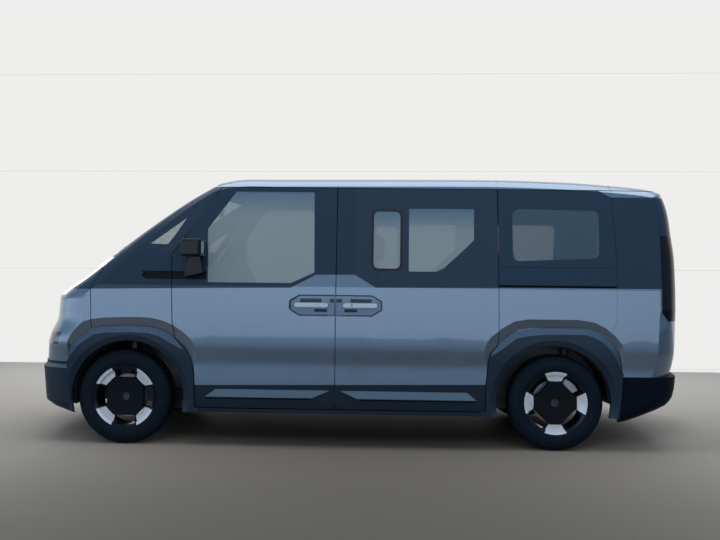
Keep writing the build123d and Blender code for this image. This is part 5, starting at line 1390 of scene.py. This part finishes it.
@dataclass
class Seats:
    """Two front seats and a rear bench, all padded, with their head restraints and posts."""

    finish: Finishes
    seat_y: float = 0.39025
    seat_half: float = 0.25
    bench_half: float = 0.62
    recliner: Point = (0.10, 0.262, 0.66)

    def build(self) -> None:
        """Builds every padded piece."""
        self._front_seats()
        self._bench()
        heads = (-BENCH_PLACES[1], *BENCH_PLACES)
        Posts("front_headrest_posts", -0.1475, 1.262, 1.385, 1.292, (-self.seat_y, self.seat_y),
              0.06).build(self.finish.chrome)
        Posts("bench_headrest_posts", -1.1305, 1.195, 1.30, 1.222, heads, 0.05).build(self.finish.chrome)
        self._shell_trim()

    def _front_seats(self) -> None:
        """Adds the cushion, back and headrest of both front seats."""
        y, half = self.seat_y, self.seat_half
        cushion = Pad("front_seat_cushion_left", (0.0575, y - half, 0.6403), (0.5775, y + half, 0.78),
                      bolster=0.028, seams=(PANEL_HALF,), cross=(0.20, 0.33, 0.46), places=(y,))
        back = Pad("front_seat_back_left", (-0.0375, y - half, 0.6403), (0.0565, y + half, 1.31),
                   lean=math.radians(14.0), taper=0.86, thin=0.019, bolster=0.034, upright=True,
                   seams=(PANEL_HALF,), cross=FRONT_BACK_SEAMS, places=(y,))
        head = Pad("front_headrest_left", (-0.2125, y - 0.14, 1.33), (-0.1125, y + 0.14, 1.50), taper=0.86,
                   upright=True, voxel=0.008, swell=0.009, start=0.006)
        self._pair(cushion, "front_seat_cushions")
        self._pair(back, "front_seat_backs")
        self._pair(head, "front_seat_backs")

    def _bench(self) -> None:
        """Adds the bench's cushion and back, and its three headrests."""
        half = self.bench_half
        cushion = Pad("bench_cushion", (-0.9675, -half, 0.6103), (-0.4775, half, 0.75), bolster=0.012,
                      bolster_from=0.9, voxel=0.012, seams=(PANEL_HALF,), cross=(-0.83, -0.71, -0.59),
                      places=BENCH_PLACES)
        back = Pad("bench_back", (-1.0625, -half, 0.6103), (-0.9685, half, 1.24), upright=True,
                   lean=math.radians(12.0), taper=0.86, thin=0.019, bolster=0.012, bolster_from=0.9,
                   voxel=0.012, seams=(PANEL_HALF,), cross=BENCH_BACK_SEAMS, places=BENCH_PLACES)
        head = Pad("bench_headrest", (-1.1775, -0.125, 1.262), (-1.0875, 0.125, 1.40), taper=0.88,
                   upright=True, voxel=0.008, swell=0.008, start=0.006)
        self._finish(cushion.model(), "rear_bench_cushion")
        self._finish(back.model(), "rear_bench_back")
        self._row(head, (-BENCH_PLACES[1], *BENCH_PLACES), "rear_bench_back")

    def _finish(self, piece: bpy.types.Object, node: str) -> None:
        """Dresses a padded piece and lets it stand for its plain block.

        Args:
            piece: the piece.
            node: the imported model's plain block.
        """
        bench = piece.name.startswith("bench")
        dress(piece, self.finish.bench_cloth if bench else self.finish.front_cloth)
        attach(piece, "body")
        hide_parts(node)
        log.info("%s: %d faces, padded", piece.name, len(piece.data.polygons))

    def _pair(self, pad: Pad, node: str) -> None:
        """Adds a pad and its mirror image, which stand for that node."""
        left = pad.model()
        mesh = left.data.copy()
        mesh.transform(Matrix.Scale(-1.0, 4, (0.0, 1.0, 0.0)))
        mesh.flip_normals()
        right = linked(pad.name.replace("left", "right"), mesh)
        self._finish(left, node)
        self._finish(right, node)

    def _row(self, pad: Pad, places: Sequence[float], node: str) -> None:
        """Adds a pad at several places across the bench, which stand for that node."""
        first = pad.model()
        for number, place in enumerate(places):
            mesh = first.data.copy()
            mesh.transform(Matrix.Translation((0.0, place, 0.0)))
            self._finish(linked(f"{pad.name}_{number + 1}", mesh), node)
        bpy.data.objects.remove(first)

    def _shell_trim(self) -> None:
        """Adds moulded covers on the outer sides of the front seat bases, with round recliner covers."""
        back_x, front_x, foot_z, top_z, near_y, far_y = 0.075, 0.50, 0.47, 0.615, 0.192, 0.214
        covers = Shape()
        for low_y, high_y in ((self.seat_y + near_y, self.seat_y + far_y), (self.seat_y - far_y, self.seat_y - near_y)):
            covers.block((back_x, low_y, foot_z), (front_x, high_y, top_z), 0.009)
        x, out, z = self.recliner
        covers.rod((x, self.seat_y + out, z), (x, self.seat_y + out + 0.014, z), 0.030, bevel=0.004)
        covers.both_sides().piece("front_seat_covers", BODY, self.finish.seat_shell, "dash")


# ------------------------------------------------------------------ trim and fittings
@dataclass
class WheelArches:
    """Felt liners in the front wheel arches, and flat ones between the rear wheel wells and the body side.

    Attributes:
        rear_ring: a rear liner's inner and outer radius.
        rear_reach: where a rear liner starts and ends, from the centre line.
    """

    finish: Finishes
    centre_x: float = 1.5625
    radius: float = 0.389
    thick: float = 0.004
    reach: Flat = (0.69, 0.868)
    ribs: int = 5
    rear_centre_x: float = -1.3895
    rear_ring: Flat = (0.398, 0.565)
    rear_reach: Flat = (0.831, 0.836)

    def build(self) -> None:
        """Adds the front pair and the rear pair, each as one piece."""
        self._front().both_sides().piece("front_arch_liners", BODY, self.finish.felt, "trim_black")
        (low, high), (near, far) = self.rear_ring, self.rear_reach
        ring = Shape().turned([(high, near), (low, near), (low, far), (high, far)], (self.rear_centre_x, 0.0, WHEEL_Z),
                              math.radians(10.0), math.radians(160.0), 48)
        ring.both_sides().piece("rear_arch_liners", BODY, self.finish.felt, "trim_black")

    def _front(self) -> Shape:
        """The left front liner, with its ribs spread evenly over it."""
        inner, outer, (near, far) = self.radius - self.thick, self.radius, self.reach
        centre = (self.centre_x, 0.0, WHEEL_Z)
        wall = [(outer, near), (inner - 0.004, near), (inner, near + 0.010), (inner, far), (outer, far)]
        liner = Shape().turned(wall, centre, math.radians(-9.0), math.radians(197.0), 64)
        rib = [(inner + 0.001, near + 0.010), (inner - 0.003, near + 0.014), (inner - 0.003, far - 0.010),
               (inner + 0.001, far - 0.002)]
        for number in range(self.ribs):
            liner.turned(rib, centre, math.radians(8.0 + 162.0 * number / (self.ribs - 1)), math.radians(2.2), 3)
        return liner


@dataclass
class RearBrakes:
    """Calipers and their brackets on the rear hubs.

    Attributes:
        clamp: a caliper's section, as radius and distance from the centre line.
        boss: the section of the two bosses on its outer face.
    """

    finish: Finishes
    middle: float = math.radians(133.0)
    sweep: float = math.radians(38.0)
    clamp: Sequence[Flat] = ((0.106, 0.817), (0.102, 0.822), (0.102, 0.840), (0.108, 0.847), (0.180, 0.847),
                             (0.186, 0.840), (0.186, 0.758), (0.180, 0.751), (0.112, 0.751), (0.112, 0.781),
                             (0.157, 0.781), (0.157, 0.817))
    boss: Sequence[Flat] = ((0.118, 0.846), (0.118, 0.8505), (0.124, 0.8525), (0.160, 0.8525), (0.166, 0.8505),
                            (0.166, 0.846))
    bracket_r: float = 0.086
    bracket_y: float = 0.727
    bracket_half: Point = (0.045, 0.027, 0.028)

    def build(self) -> None:
        """Adds both calipers as one piece."""
        centre = (REAR_AXLE_X, 0.0, WHEEL_Z)
        brakes = Shape().turned(self.clamp, centre, self.middle - self.sweep / 2, self.sweep, 14)
        for off in (-0.5, 0.5):
            start = self.middle + off * self.sweep * 0.52 - self.sweep * 0.15
            brakes.turned(self.boss, centre, start, self.sweep * 0.30, 6)
        way = Vector((math.cos(self.middle), 0.0, math.sin(self.middle)))
        root = Vector((REAR_AXLE_X, self.bracket_y, WHEEL_Z)) + way * self.bracket_r
        half = Vector(self.bracket_half)
        brakes.block(tuple(root - half), tuple(root + half), 0.008, turn=Matrix.Rotation(-self.middle, 4, "Y"))
        brakes.both_sides().piece("rear_calipers", BODY, self.finish.caliper, "alloy")


@dataclass
class Plates:
    """Blank number plate, its bolts and its lamps, on the tailgate."""

    finish: Finishes
    x: float = -2.3300
    half: float = 0.26
    low: float = 0.649
    high: float = 0.761
    rim: float = 0.004
    bolt_y: float = 0.16
    lamp_half: float = 0.035

    def build(self) -> None:
        """Adds the plate with a raised rim, then its bolts and lamps."""
        x, half, low, high, rim = self.x, self.half, self.low, self.high, self.rim
        plate = Shape().block((x - 0.0012, -half, low), (x + 0.0012, half, high), 0.0011, 2)
        for (y0, z0), (y1, z1) in (((-half, low), (half, low + rim)), ((-half, high - rim), (half, high)),
                                   ((-half, low), (rim - half, high)), ((half - rim, low), (half, high))):
            plate.block((x - 0.0024, y0, z0), (x, y1, z1), 0.001, 2)
        plate.piece("rear_plate", "tailgate", self.finish.plate, "silver")
        fittings = Shape()
        for y in (-self.bolt_y, self.bolt_y):
            z = (low + high) / 2
            fittings.rod((x - 0.0005, y, z), (x - 0.0055, y, z), 0.008, 0.006, bevel=0.001)
            fittings.block((x - 0.002, y - self.lamp_half, high + 0.001),
                           (x + 0.006, y + self.lamp_half, high + 0.0085), 0.002)
        fittings.piece("rear_plate_fittings", "tailgate", self.finish.trim, "trim_black")


@dataclass
class TailgateSkin:
    """The tailgate's panel, cut back flush at its top edge so that no lip stands out behind the roof.

    Attributes:
        slope: how much flatter than upright the cutting planes are.
        plan: each plane's distance from the centre line, its place along the van and its turn in plan.
    """

    finish: Finishes
    height: float = 1.775
    slope: float = 1.65
    plan: Sequence[Point] = ((0.0, -2.2362, 0.0), (0.3, -2.2302, 0.07), (0.5, -2.2115, 0.139), (0.62, -2.1955, 0.187))

    def build(self, node: bpy.types.Object) -> None:
        """Cuts a copy of the panel and lets it stand for the plain one.

        Args:
            node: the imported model's tailgate.
        """
        skin = Shape()
        skin.bm.from_mesh(node.data)
        bmesh.ops.transform(skin.bm, matrix=node.matrix_world, verts=skin.bm.verts)
        bmesh.ops.remove_doubles(skin.bm, verts=skin.bm.verts, dist=1e-6)
        for y, x, turn in self.plan:
            for sign in ((1.0, -1.0) if y else (1.0,)):
                self._cut(skin, (x, sign * y, self.height), (-1.0, sign * turn, self.slope))
        piece = skin.piece("tailgate_skin", "tailgate", self.finish.paint[Panel.GATE], "silver")
        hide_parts("tailgate")

    @staticmethod
    def _cut(skin: Shape, foot: Point, way_out: Point) -> None:
        """Cuts the shape along a plane, keeps what lies inside it and closes the cut.

        Args:
            skin: the shape.
            foot: a point on the plane.
            way_out: the direction of what is cut away.
        """
        whole = list(skin.bm.verts) + list(skin.bm.edges) + list(skin.bm.faces)
        bmesh.ops.bisect_plane(skin.bm, geom=whole, dist=1e-6, plane_co=foot, plane_no=way_out, clear_outer=True)
        rim = [edge for edge in skin.bm.edges if edge.is_boundary]
        bmesh.ops.holes_fill(skin.bm, edges=rim, sides=0)


@dataclass
class StripCorners:
    """Small corner panels that close the body between the light strips, the front bumper and the fenders."""

    finish: Finishes
    corners: Sequence[Point] = ((1.8430, 0.7605, 1.2312), (1.7598, 0.8710, 1.2312), (1.7247, 0.7575, 1.3150))
    depth: Point = (-0.0063, -0.0047, -0.0090)

    def build(self) -> None:
        """Adds the two panels as one piece."""
        panel = Shape()
        outer = [panel.bm.verts.new(point) for point in self.corners]
        inner = [panel.bm.verts.new([a + b for a, b in zip(point, self.depth)]) for point in self.corners]
        panel.bm.faces.new(outer)
        panel.bm.faces.new(inner[::-1])
        for a, b in ((0, 1), (1, 2), (2, 0)):
            panel.bm.faces.new((outer[b], outer[a], inner[a], inner[b]))
        panel.both_sides().piece("strip_corners", BODY, self.finish.paint[Panel.NOSE], "silver")


@dataclass
class Mirrors:
    """Silvered glass and side lamps of the door mirrors."""

    finish: Finishes
    glass: tuple[Point, Point] = ((1.0272, 0.9545, 1.3325), (1.0302, 1.0905, 1.4095))
    lamp_path: Sequence[Point] = ((1.1775, 1.035, 1.352), (1.1700, 1.070, 1.352), (1.1600, 1.098, 1.352),
                                  (1.1420, 1.1065, 1.352))
    lamp_half: Flat = (0.002, 0.004)

    def build(self) -> None:
        """Adds one glass and one lamp strip to each mirror."""
        out, up = self.lamp_half
        section = [(-out, -up), (out, -up), (out, up), (-out, up)]
        for side, sign in SIDES:
            glass = Shape().block(*self.glass, 0.0012, 2)
            strip = Shape().swept(section, self.lamp_path, UPWARDS)
            glass.on_side(sign).piece(f"mirror_glass_{side}", f"front_door_{side}", self.finish.mirror, "alloy")
            strip.on_side(sign).piece(f"mirror_lamp_{side}", f"front_door_{side}", self.finish.headlamp, "lamp_white")


@dataclass
class Doors:
    """Pulls and speaker grilles on the inner sides of the front doors."""

    finish: Finishes
    pull_section: Sequence[Flat] = ((-0.006, -0.009), (0.006, -0.009), (0.008, 0.0), (0.006, 0.009), (-0.006, 0.009))
    pull_path: Sequence[Point] = ((0.70, 0.832, 0.90), (0.69, 0.812, 0.90), (0.66, 0.802, 0.90), (0.56, 0.800, 0.90),
                                  (0.53, 0.812, 0.90), (0.52, 0.832, 0.90))
    switches: tuple[Point, Point] = ((0.60, 0.8285, 0.955), (0.69, 0.8365, 0.995))
    speaker: Point = (0.995, 0.8365, 0.545)

    def build(self) -> None:
        """Adds one pull and one speaker grille to each front door."""
        x, y, z = self.speaker
        for side, sign in SIDES:
            pull = Shape().swept(self.pull_section, self.pull_path, UPWARDS)
            pull.block(*self.switches, 0.004)
            speaker = Shape().rod((x, y, z), (x, y - 0.010, z), 0.082, 0.076, 56, 0.003)
            speaker.rod((x, y - 0.009, z), (x, y - 0.013, z), 0.030, 0.026, 40, 0.002)
            pull.on_side(sign).piece(f"door_pull_{side}", f"front_door_{side}", self.finish.chrome, "alloy")
            speaker.on_side(sign).piece(f"door_speaker_{side}", f"front_door_{side}", self.finish.speaker,
                                        "trim_black")


@dataclass
class Cabin:
    """Displays, pedals, stalks, belts, sun visors and the steering wheel's pad.

    Attributes:
        pedals: each pedal's distance from the centre line, half its width, and its height.
        belt_half: half a belt's thickness and half its width.
    """

    finish: Finishes
    hub: Point = (0.7875, 0.39025, 1.15)
    tilt: float = math.radians(28.0)
    pod_y: float = 0.098
    pedals: Sequence[Point] = ((0.40, 0.045, 0.575), (0.285, 0.024, 0.545))
    belt_half: Flat = (0.0006, 0.023)
    belt_path: Sequence[Point] = ((0.118, 0.7420, 1.430), (0.118, 0.7560, 1.300), (0.118, 0.7700, 1.150),
                                  (0.118, 0.7735, 1.00), (0.118, 0.7735, 0.75), (0.118, 0.7735, 0.50))
    stalk_y: Flat = (0.125, 0.655)

    def build(self) -> None:
        """Adds every cabin fitting."""
        self._display()
        self._wheel_pad()
        self._stalks()
        self._pedals()
        self._belts()
        self._visors()

    def _on_wheel(self, shape: Shape) -> Shape:
        """Moves a shape to the steering wheel: its X to the left, its Z along the column towards the driver."""
        z = Vector((-math.cos(self.tilt), 0.0, math.sin(self.tilt)))
        x = Vector((0.0, 1.0, 0.0))
        y = z.cross(x)
        place = Matrix.Translation(self.hub) @ Matrix((x, y, z)).transposed().to_4x4()
        bmesh.ops.transform(shape.bm, matrix=place, verts=shape.bm.verts)
        return shape

    def _display(self) -> None:
        """Adds the wide display on its foot, and a small switch block on the dashboard."""
        turn = Matrix.Rotation(math.radians(-14.0), 4, "Y")
        screen = Shape().block((1.150, -0.13, 1.222), (1.164, 0.63, 1.352), 0.006, turn=turn)
        screen.piece("display", BODY, self.finish.gloss, "black_gloss")
        foot = Shape().block((1.158, 0.05, 1.186), (1.198, 0.45, 1.262), 0.010, turn=turn)
        foot.block((1.02, -0.045, 1.05), (1.052, 0.045, 1.075), 0.006)
        foot.piece("display_foot", BODY, self.finish.trim, "trim_black")

    def _wheel_pad(self) -> None:
        """Adds the steering wheel's pad and switch pods, each with two rockers."""
        pad = Shape().block((-0.062, -0.056, 0.006), (0.062, 0.050, 0.030), 0.011, 4)
        for middle in (-self.pod_y, self.pod_y):
            pad.block((middle - 0.024, -0.018, 0.006), (middle + 0.024, 0.018, 0.017), 0.004)
            for up in (-0.008, 0.008):
                pad.block((middle - 0.017, up - 0.005, 0.016), (middle + 0.017, up + 0.005, 0.0195), 0.0015)
        self._on_wheel(pad).piece("steering_wheel_pad", "steering_wheel", self.finish.seat_shell, "trim_black")

    def _stalks(self) -> None:
        """Adds the two stalks behind the steering wheel, each with a thicker grip."""
        stalks = Shape()
        for side in (-1.0, 1.0):
            stalks.rod((side * 0.030, 0.0, -0.052), (side * 0.105, 0.012, -0.046), 0.0075, 0.0060, bevel=0.001)
            stalks.rod((side * 0.103, 0.012, -0.046), (side * 0.148, 0.020, -0.042), 0.0100, 0.0085, bevel=0.002)
        self._on_wheel(stalks).piece("column_stalks", BODY, self.finish.trim, "trim_black")

    def _pedals(self) -> None:
        """Adds the brake and drive pedals with ribbed faces, hung from the bulkhead."""
        pedals = Shape()
        turn = Matrix.Rotation(math.radians(24.0), 4, "Y")
        for y, wide, z in self.pedals:
            pedals.block((1.098, y - wide, z - 0.035), (1.110, y + wide, z + 0.035), 0.004, turn=turn)
            for step in (-0.018, 0.0, 0.018):
                pedals.block((1.0925, y - wide * 0.8, z + step - 0.003), (1.1000, y + wide * 0.8, z + step + 0.003),
                             0.0015, turn=turn)
            pedals.rod((1.106, y, z + 0.01), (1.224, y, z + 0.145), 0.008, 0.010)
        pedals.piece("pedals", BODY, self.finish.trim, "trim_black")

    def _belts(self) -> None:
        """Adds the front belts down the door posts, their anchors, and the stalks beside the seats."""
        thick, wide = self.belt_half
        web = [(-thick, -wide), (thick, -wide), (thick, wide), (-thick, wide)]
        belts = Shape().swept(web, self.belt_path, (1.0, 0.0, 0.0))
        belts.both_sides().piece("front_belts", BODY, self.finish.belt, "fabric")
        anchors = Shape().block((0.092, 0.7370, 1.405), (0.144, 0.7560, 1.475), 0.007)
        anchors.block((0.088, 0.7660, 0.455), (0.148, 0.7820, 0.540), 0.006)
        for y in self.stalk_y:
            anchors.block((0.105, y - 0.013, 0.650), (0.135, y + 0.013, 0.790), 0.006)
        anchors.both_sides().piece("front_belt_anchors", BODY, self.finish.trim, "trim_black")

    def _visors(self) -> None:
        """Adds the two folded sun visors under the front of the roof."""
        turn = Matrix.Rotation(math.radians(20.0), 4, "Y")
        visors = Shape().block((0.815, 0.20, 1.772), (0.955, 0.58, 1.786), 0.006, turn=turn)
        visors.both_sides().piece("sun_visors", BODY, self.finish.headliner, "dash")


# ------------------------------------------------------------------ the studio
@dataclass
class Studio:
    """Floor, wall, lights, world and camera.

    Attributes:
        floor_shadow: the colour of a broad painted shadow round the van.
        floor_edge: the floor's colour in front of the camera.
        horizon: the colour of the brighter light from low on the camera's side.
    """

    place: Point = (-0.228, 7.26, 1.135)
    yaw: float = math.radians(1.63)
    pitch: float = math.radians(0.88)
    roll: float = math.radians(0.71)
    lens: float = 45.78
    sensor: float = 36.0
    wall_y: float = -5.26
    board: float = 1.340
    pale: Colour = (0.855, 0.852, 0.845)
    joint: Colour = (0.45, 0.44, 0.43)
    floor_near: Colour = (0.190, 0.172, 0.146)
    floor_far: Colour = (0.76, 0.67, 0.575)
    floor_cloud: Colour = (0.36, 0.34, 0.32)
    # colours of the painted shadows round and below the van
    floor_shadow: Colour = (0.060, 0.052, 0.042)
    floor_under_shadow: Colour = (0.004, 0.004, 0.0035)
    floor_edge: Colour = (0.060, 0.056, 0.051)
    sky: Colour = (0.26, 0.35, 0.46)
    horizon: Colour = (1.22, 1.48, 1.75)

    def build(self) -> None:
        """Builds the whole studio."""
        self._camera()
        self._floor()
        self._wall()
        self._world()
        self._lamp("overhead", (0.0, 0.8, 4.6), (0.0, 0.0, 0.6), (7.5, 4.0), 170.0)
        self._lamp("camera side", (-0.6, 8.2, 4.2), (0.0, 0.0, 1.0), (9.0, 2.4), 190.0, mirrored=False)
        self._lamp("far side", (0.5, -4.9, 3.2), (0.0, 0.0, 0.9), (7.0, 1.6), 60.0, mirrored=False)

    def _camera(self) -> None:
        """Adds the camera."""
        ahead = Vector((math.sin(self.yaw) * math.cos(self.pitch), -math.cos(self.yaw) * math.cos(self.pitch),
                        math.sin(self.pitch)))
        right = ahead.cross(Vector(UPWARDS)).normalized()
        up = right.cross(ahead)
        tilted_right = math.cos(self.roll) * right + math.sin(self.roll) * up
        tilted_up = -math.sin(self.roll) * right + math.cos(self.roll) * up
        turn = Matrix((tilted_right, tilted_up, -ahead)).transposed()
        data = bpy.data.cameras.new("camera")
        data.lens = self.lens
        data.sensor_width = self.sensor
        camera = linked("camera", data)
        camera.matrix_world = Matrix.Translation(Vector(self.place)) @ turn.to_4x4()
        bpy.context.scene.camera = camera

    def _sheet(self, name: str, size: Flat, place: Matrix, material: bpy.types.Material) -> None:
        """Adds a flat part of the studio.

        Args:
            name: its name.
            size: its half lengths.
            place: where it lies.
            material: its finish.
        """
        bm = bmesh.new()
        bmesh.ops.create_grid(bm, x_segments=1, y_segments=1, size=1.0)
        bmesh.ops.scale(bm, vec=(size[0], size[1], 1.0), verts=bm.verts)
        bmesh.ops.transform(bm, matrix=place, verts=bm.verts)
        sheet = linked(name, mesh_of(bm, name))
        dress(sheet, material)

    @staticmethod
    def _hill(r: Recipe, middle: Flat, spread: Flat, top: float) -> Wire:
        """A value that falls off all round a place on the floor.

        Args:
            r: the floor's recipe.
            middle: the place.
            spread: how slowly it falls along the van and across it.
            top: the value at the place.

        Returns:
            The value.
        """
        along, across = r.x - middle[0], r.y - middle[1]
        return top - along * along / spread[0] - across * across / spread[1]

    def _floor(self) -> None:
        """Adds a wide pale floor that is a little darker towards the camera, with a broad painted shadow round the van
        and a dark painted shadow below it.
        """
        r = Recipe("studio floor")
        base = r.blend(((3.2 - r.y) / 7.0).clamped(), self.floor_near, self.floor_far)
        base = r.blend(r.noise(1.1, 3.0) * 0.10, base, self.floor_cloud)
        # painted shadows: a broad one round the van, then a dark one below it
        broad_shadow = self._hill(r, (-0.15, 1.6), (5.3, 9.0), 1.0).clamped()
        base = r.blend(broad_shadow * 0.62, base, self.floor_shadow)
        base = r.blend(self._hill(r, (-0.1, -0.55), (6.3, 2.2), 1.2).clamped(), base, self.floor_under_shadow)
        base = r.blend(r.y.above(4.0, 0.7), base, self.floor_edge)
        finish = r.surface(Base_Color=base, Roughness=0.7, Specular_IOR_Level=0.05)
        self._sheet("floor", (60.0, 60.0), Matrix.Identity(4), finish)

    def _wall(self) -> None:
        """Adds a pale wall of wide boards, which is seen only from the van's side of it."""
        r = Recipe("studio wall")
        joint = ((r.z + r.x * 0.008 + 0.014) % self.board).near(0.0135, 0.0055, 0.006)
        path = r.raw("ShaderNodeLightPath", {}, {})
        rays = ("Is Camera Ray", "Is Transmission Ray", "Is Glossy Ray")
        seen = reduce(Wire.either, [Wire(r, path.outputs[ray]) for ray in rays])
        plain = r.raw("ShaderNodeBsdfDiffuse", {}, {"Color": (*self.pale, 1.0)})
        boards = r.raw("ShaderNodeEmission", {}, {"Color": r.blend(joint * 0.30, self.pale, self.joint)})
        behind = r.node("ShaderNodeNewGeometry", {}, {}, "Backfacing")
        open_back = r.raw("ShaderNodeBsdfTransparent", {}, {})
        finish = r.shown(r.switch(behind, r.switch(seen, plain, boards), open_back))
        upright = Matrix.Translation((0.0, self.wall_y, 5.0)) @ Matrix.Rotation(math.radians(-90.0), 4, "X")
        self._sheet("wall", (30.0, 5.0), upright, finish)

    def _world(self) -> None:
        """Sets a cool world, brighter low on the camera's side, that looks pale to the camera."""
        world = bpy.data.worlds.new("studio")
        bpy.context.scene.world = world
        r = Recipe("sky", world)
        facing = ((r.y + r.x * 0.8 - 0.42) / 0.34).clamped()
        low = 1.0 - r.z.above(0.17, 0.12)
        light = r.raw("ShaderNodeBackground", {}, {"Color": r.blend(facing * low, self.sky, self.horizon)})
        pale = r.raw("ShaderNodeBackground", {}, {"Color": (*self.pale, 1.0)})
        r.shown(r.switch(r.node("ShaderNodeLightPath", {}, {}, "Is Camera Ray"), light, pale))

    def _lamp(self, name: str, place: Point, aim: Point, size: Flat, power: float, mirrored: bool = True) -> None:
        """Adds a soft box.

        Args:
            name: the lamp's name.
            place: where it hangs.
            aim: the point it faces.
            size: its two sides.
            power: watts.
            mirrored: whether glossy surfaces show it.
        """
        data = bpy.data.lights.new(name, "AREA")
        data.shape = "RECTANGLE"
        data.size, data.size_y = size
        data.energy = power
        lamp = linked(name, data)
        lamp.location = place
        lamp.rotation_euler = (Vector(aim) - Vector(place)).to_track_quat("-Z", "Y").to_euler()
        lamp.visible_camera = False
        lamp.visible_glossy = mirrored


def dress_frame(nodes: dict[str, Any], finish: Finishes) -> None:
    """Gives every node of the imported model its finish.

    Args:
        nodes: the model's nodes by name.
        finish: the finishes.
    """
    paint = finish.paint
    plan: Sequence[tuple[bpy.types.Material, Sequence[str]]] = (
        (paint[Panel.DOOR], ("front_door_left", "front_door_right", "sliding_doors")),
        (paint[Panel.SIDE], ("side_frames",)),
        (paint[Panel.FENDER], ("front_fenders",)),
        (paint[Panel.NOSE], ("front_bumper",)),
        (paint[Panel.BONNET], ("bonnet",)),
        (paint[Panel.ROOF], ("roof_panel",)),
        (paint[Panel.GATE], ("tailgate",)),
        (finish.pillar, ("a_pillars",)),
        (finish.mirror_shell, ("door_mirror_left", "door_mirror_right")),
        (finish.cladding, ("arch_cladding",)),
        (finish.front_bumper, ("front_valance",)),
        (finish.rear_bumper, ("rear_bumper",)),
        (finish.grille, ("front_grille",)),
        (finish.cowl, ("cowl_panel",)),
        (finish.trim, ("steering_wheel", "steering_column", "cabin_mirror")),
        (finish.rubber, ("wipers", "window_seals")),
        (finish.side_glass, ("sliding_door_windows",)),
        (finish.door_glass, ("front_door_window_left", "front_door_window_right")),
        (finish.quarter_glass, ("rear_quarter_windows",)),
        (finish.rear_glass, ("tailgate_window",)),
        (finish.screen_glass, ("windscreen",)),
        (finish.vent_glass, ("vent_windows",)),
        (finish.white_lamp, ("light_strips",)),
        (finish.headlamp, ("headlamps",)),
        (finish.red_lamp, ("tail_lamps",)),
        (finish.front_wheel, ("wheel_front_left", "wheel_front_right")),
        (finish.rear_wheel, ("wheel_rear_left", "wheel_rear_right")),
        (finish.steel, ("front_subframe", "front_struts", "floor_pan", "bulkhead")),
        (finish.cast, ("front_lower_arms", "rear_axle")),
        (finish.knuckle, ("front_knuckle_left", "front_knuckle_right")),
        (finish.alloy, ("drive_unit",)),
        (finish.battery, ("battery_pack",)),
        (finish.dash, ("dashboard",)),
        (finish.seat_shell, ("front_seat_bases", "rear_bench_base")),
        (finish.front_cloth, ("front_seat_backs", "front_seat_cushions")),
        (finish.bench_cloth, ("rear_bench_back", "rear_bench_cushion")),
    )
    for material, names in plan:
        for name in names:
            dress(nodes[name], material)
    for end in ("front", "rear"):
        for side, _ in SIDES:
            name = f"tyre_{end}_{side}"
            low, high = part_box(name)
            centre = tuple((Vector(low) + Vector(high)) / 2)
            dress(nodes[name], TyreRubber(centre).build(name.replace("_", " ")))
    log.info("%d nodes dressed", len(nodes))


def main() -> None:
    """Builds the van's dress and the studio."""
    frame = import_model()
    finish = Finishes()
    dress_frame(frame["nodes"], finish)
    Studio().build()
    Seats(finish).build()
    WheelArches(finish).build()
    RearBrakes(finish).build()
    TailgateSkin(finish).build(frame["nodes"]["tailgate"])
    StripCorners(finish).build()
    Plates(finish).build()
    Mirrors(finish).build()
    Doors(finish).build()
    Cabin(finish).build()
    bpy.context.scene.view_settings.view_transform = "Standard"


if __name__ == "__main__":
    main()
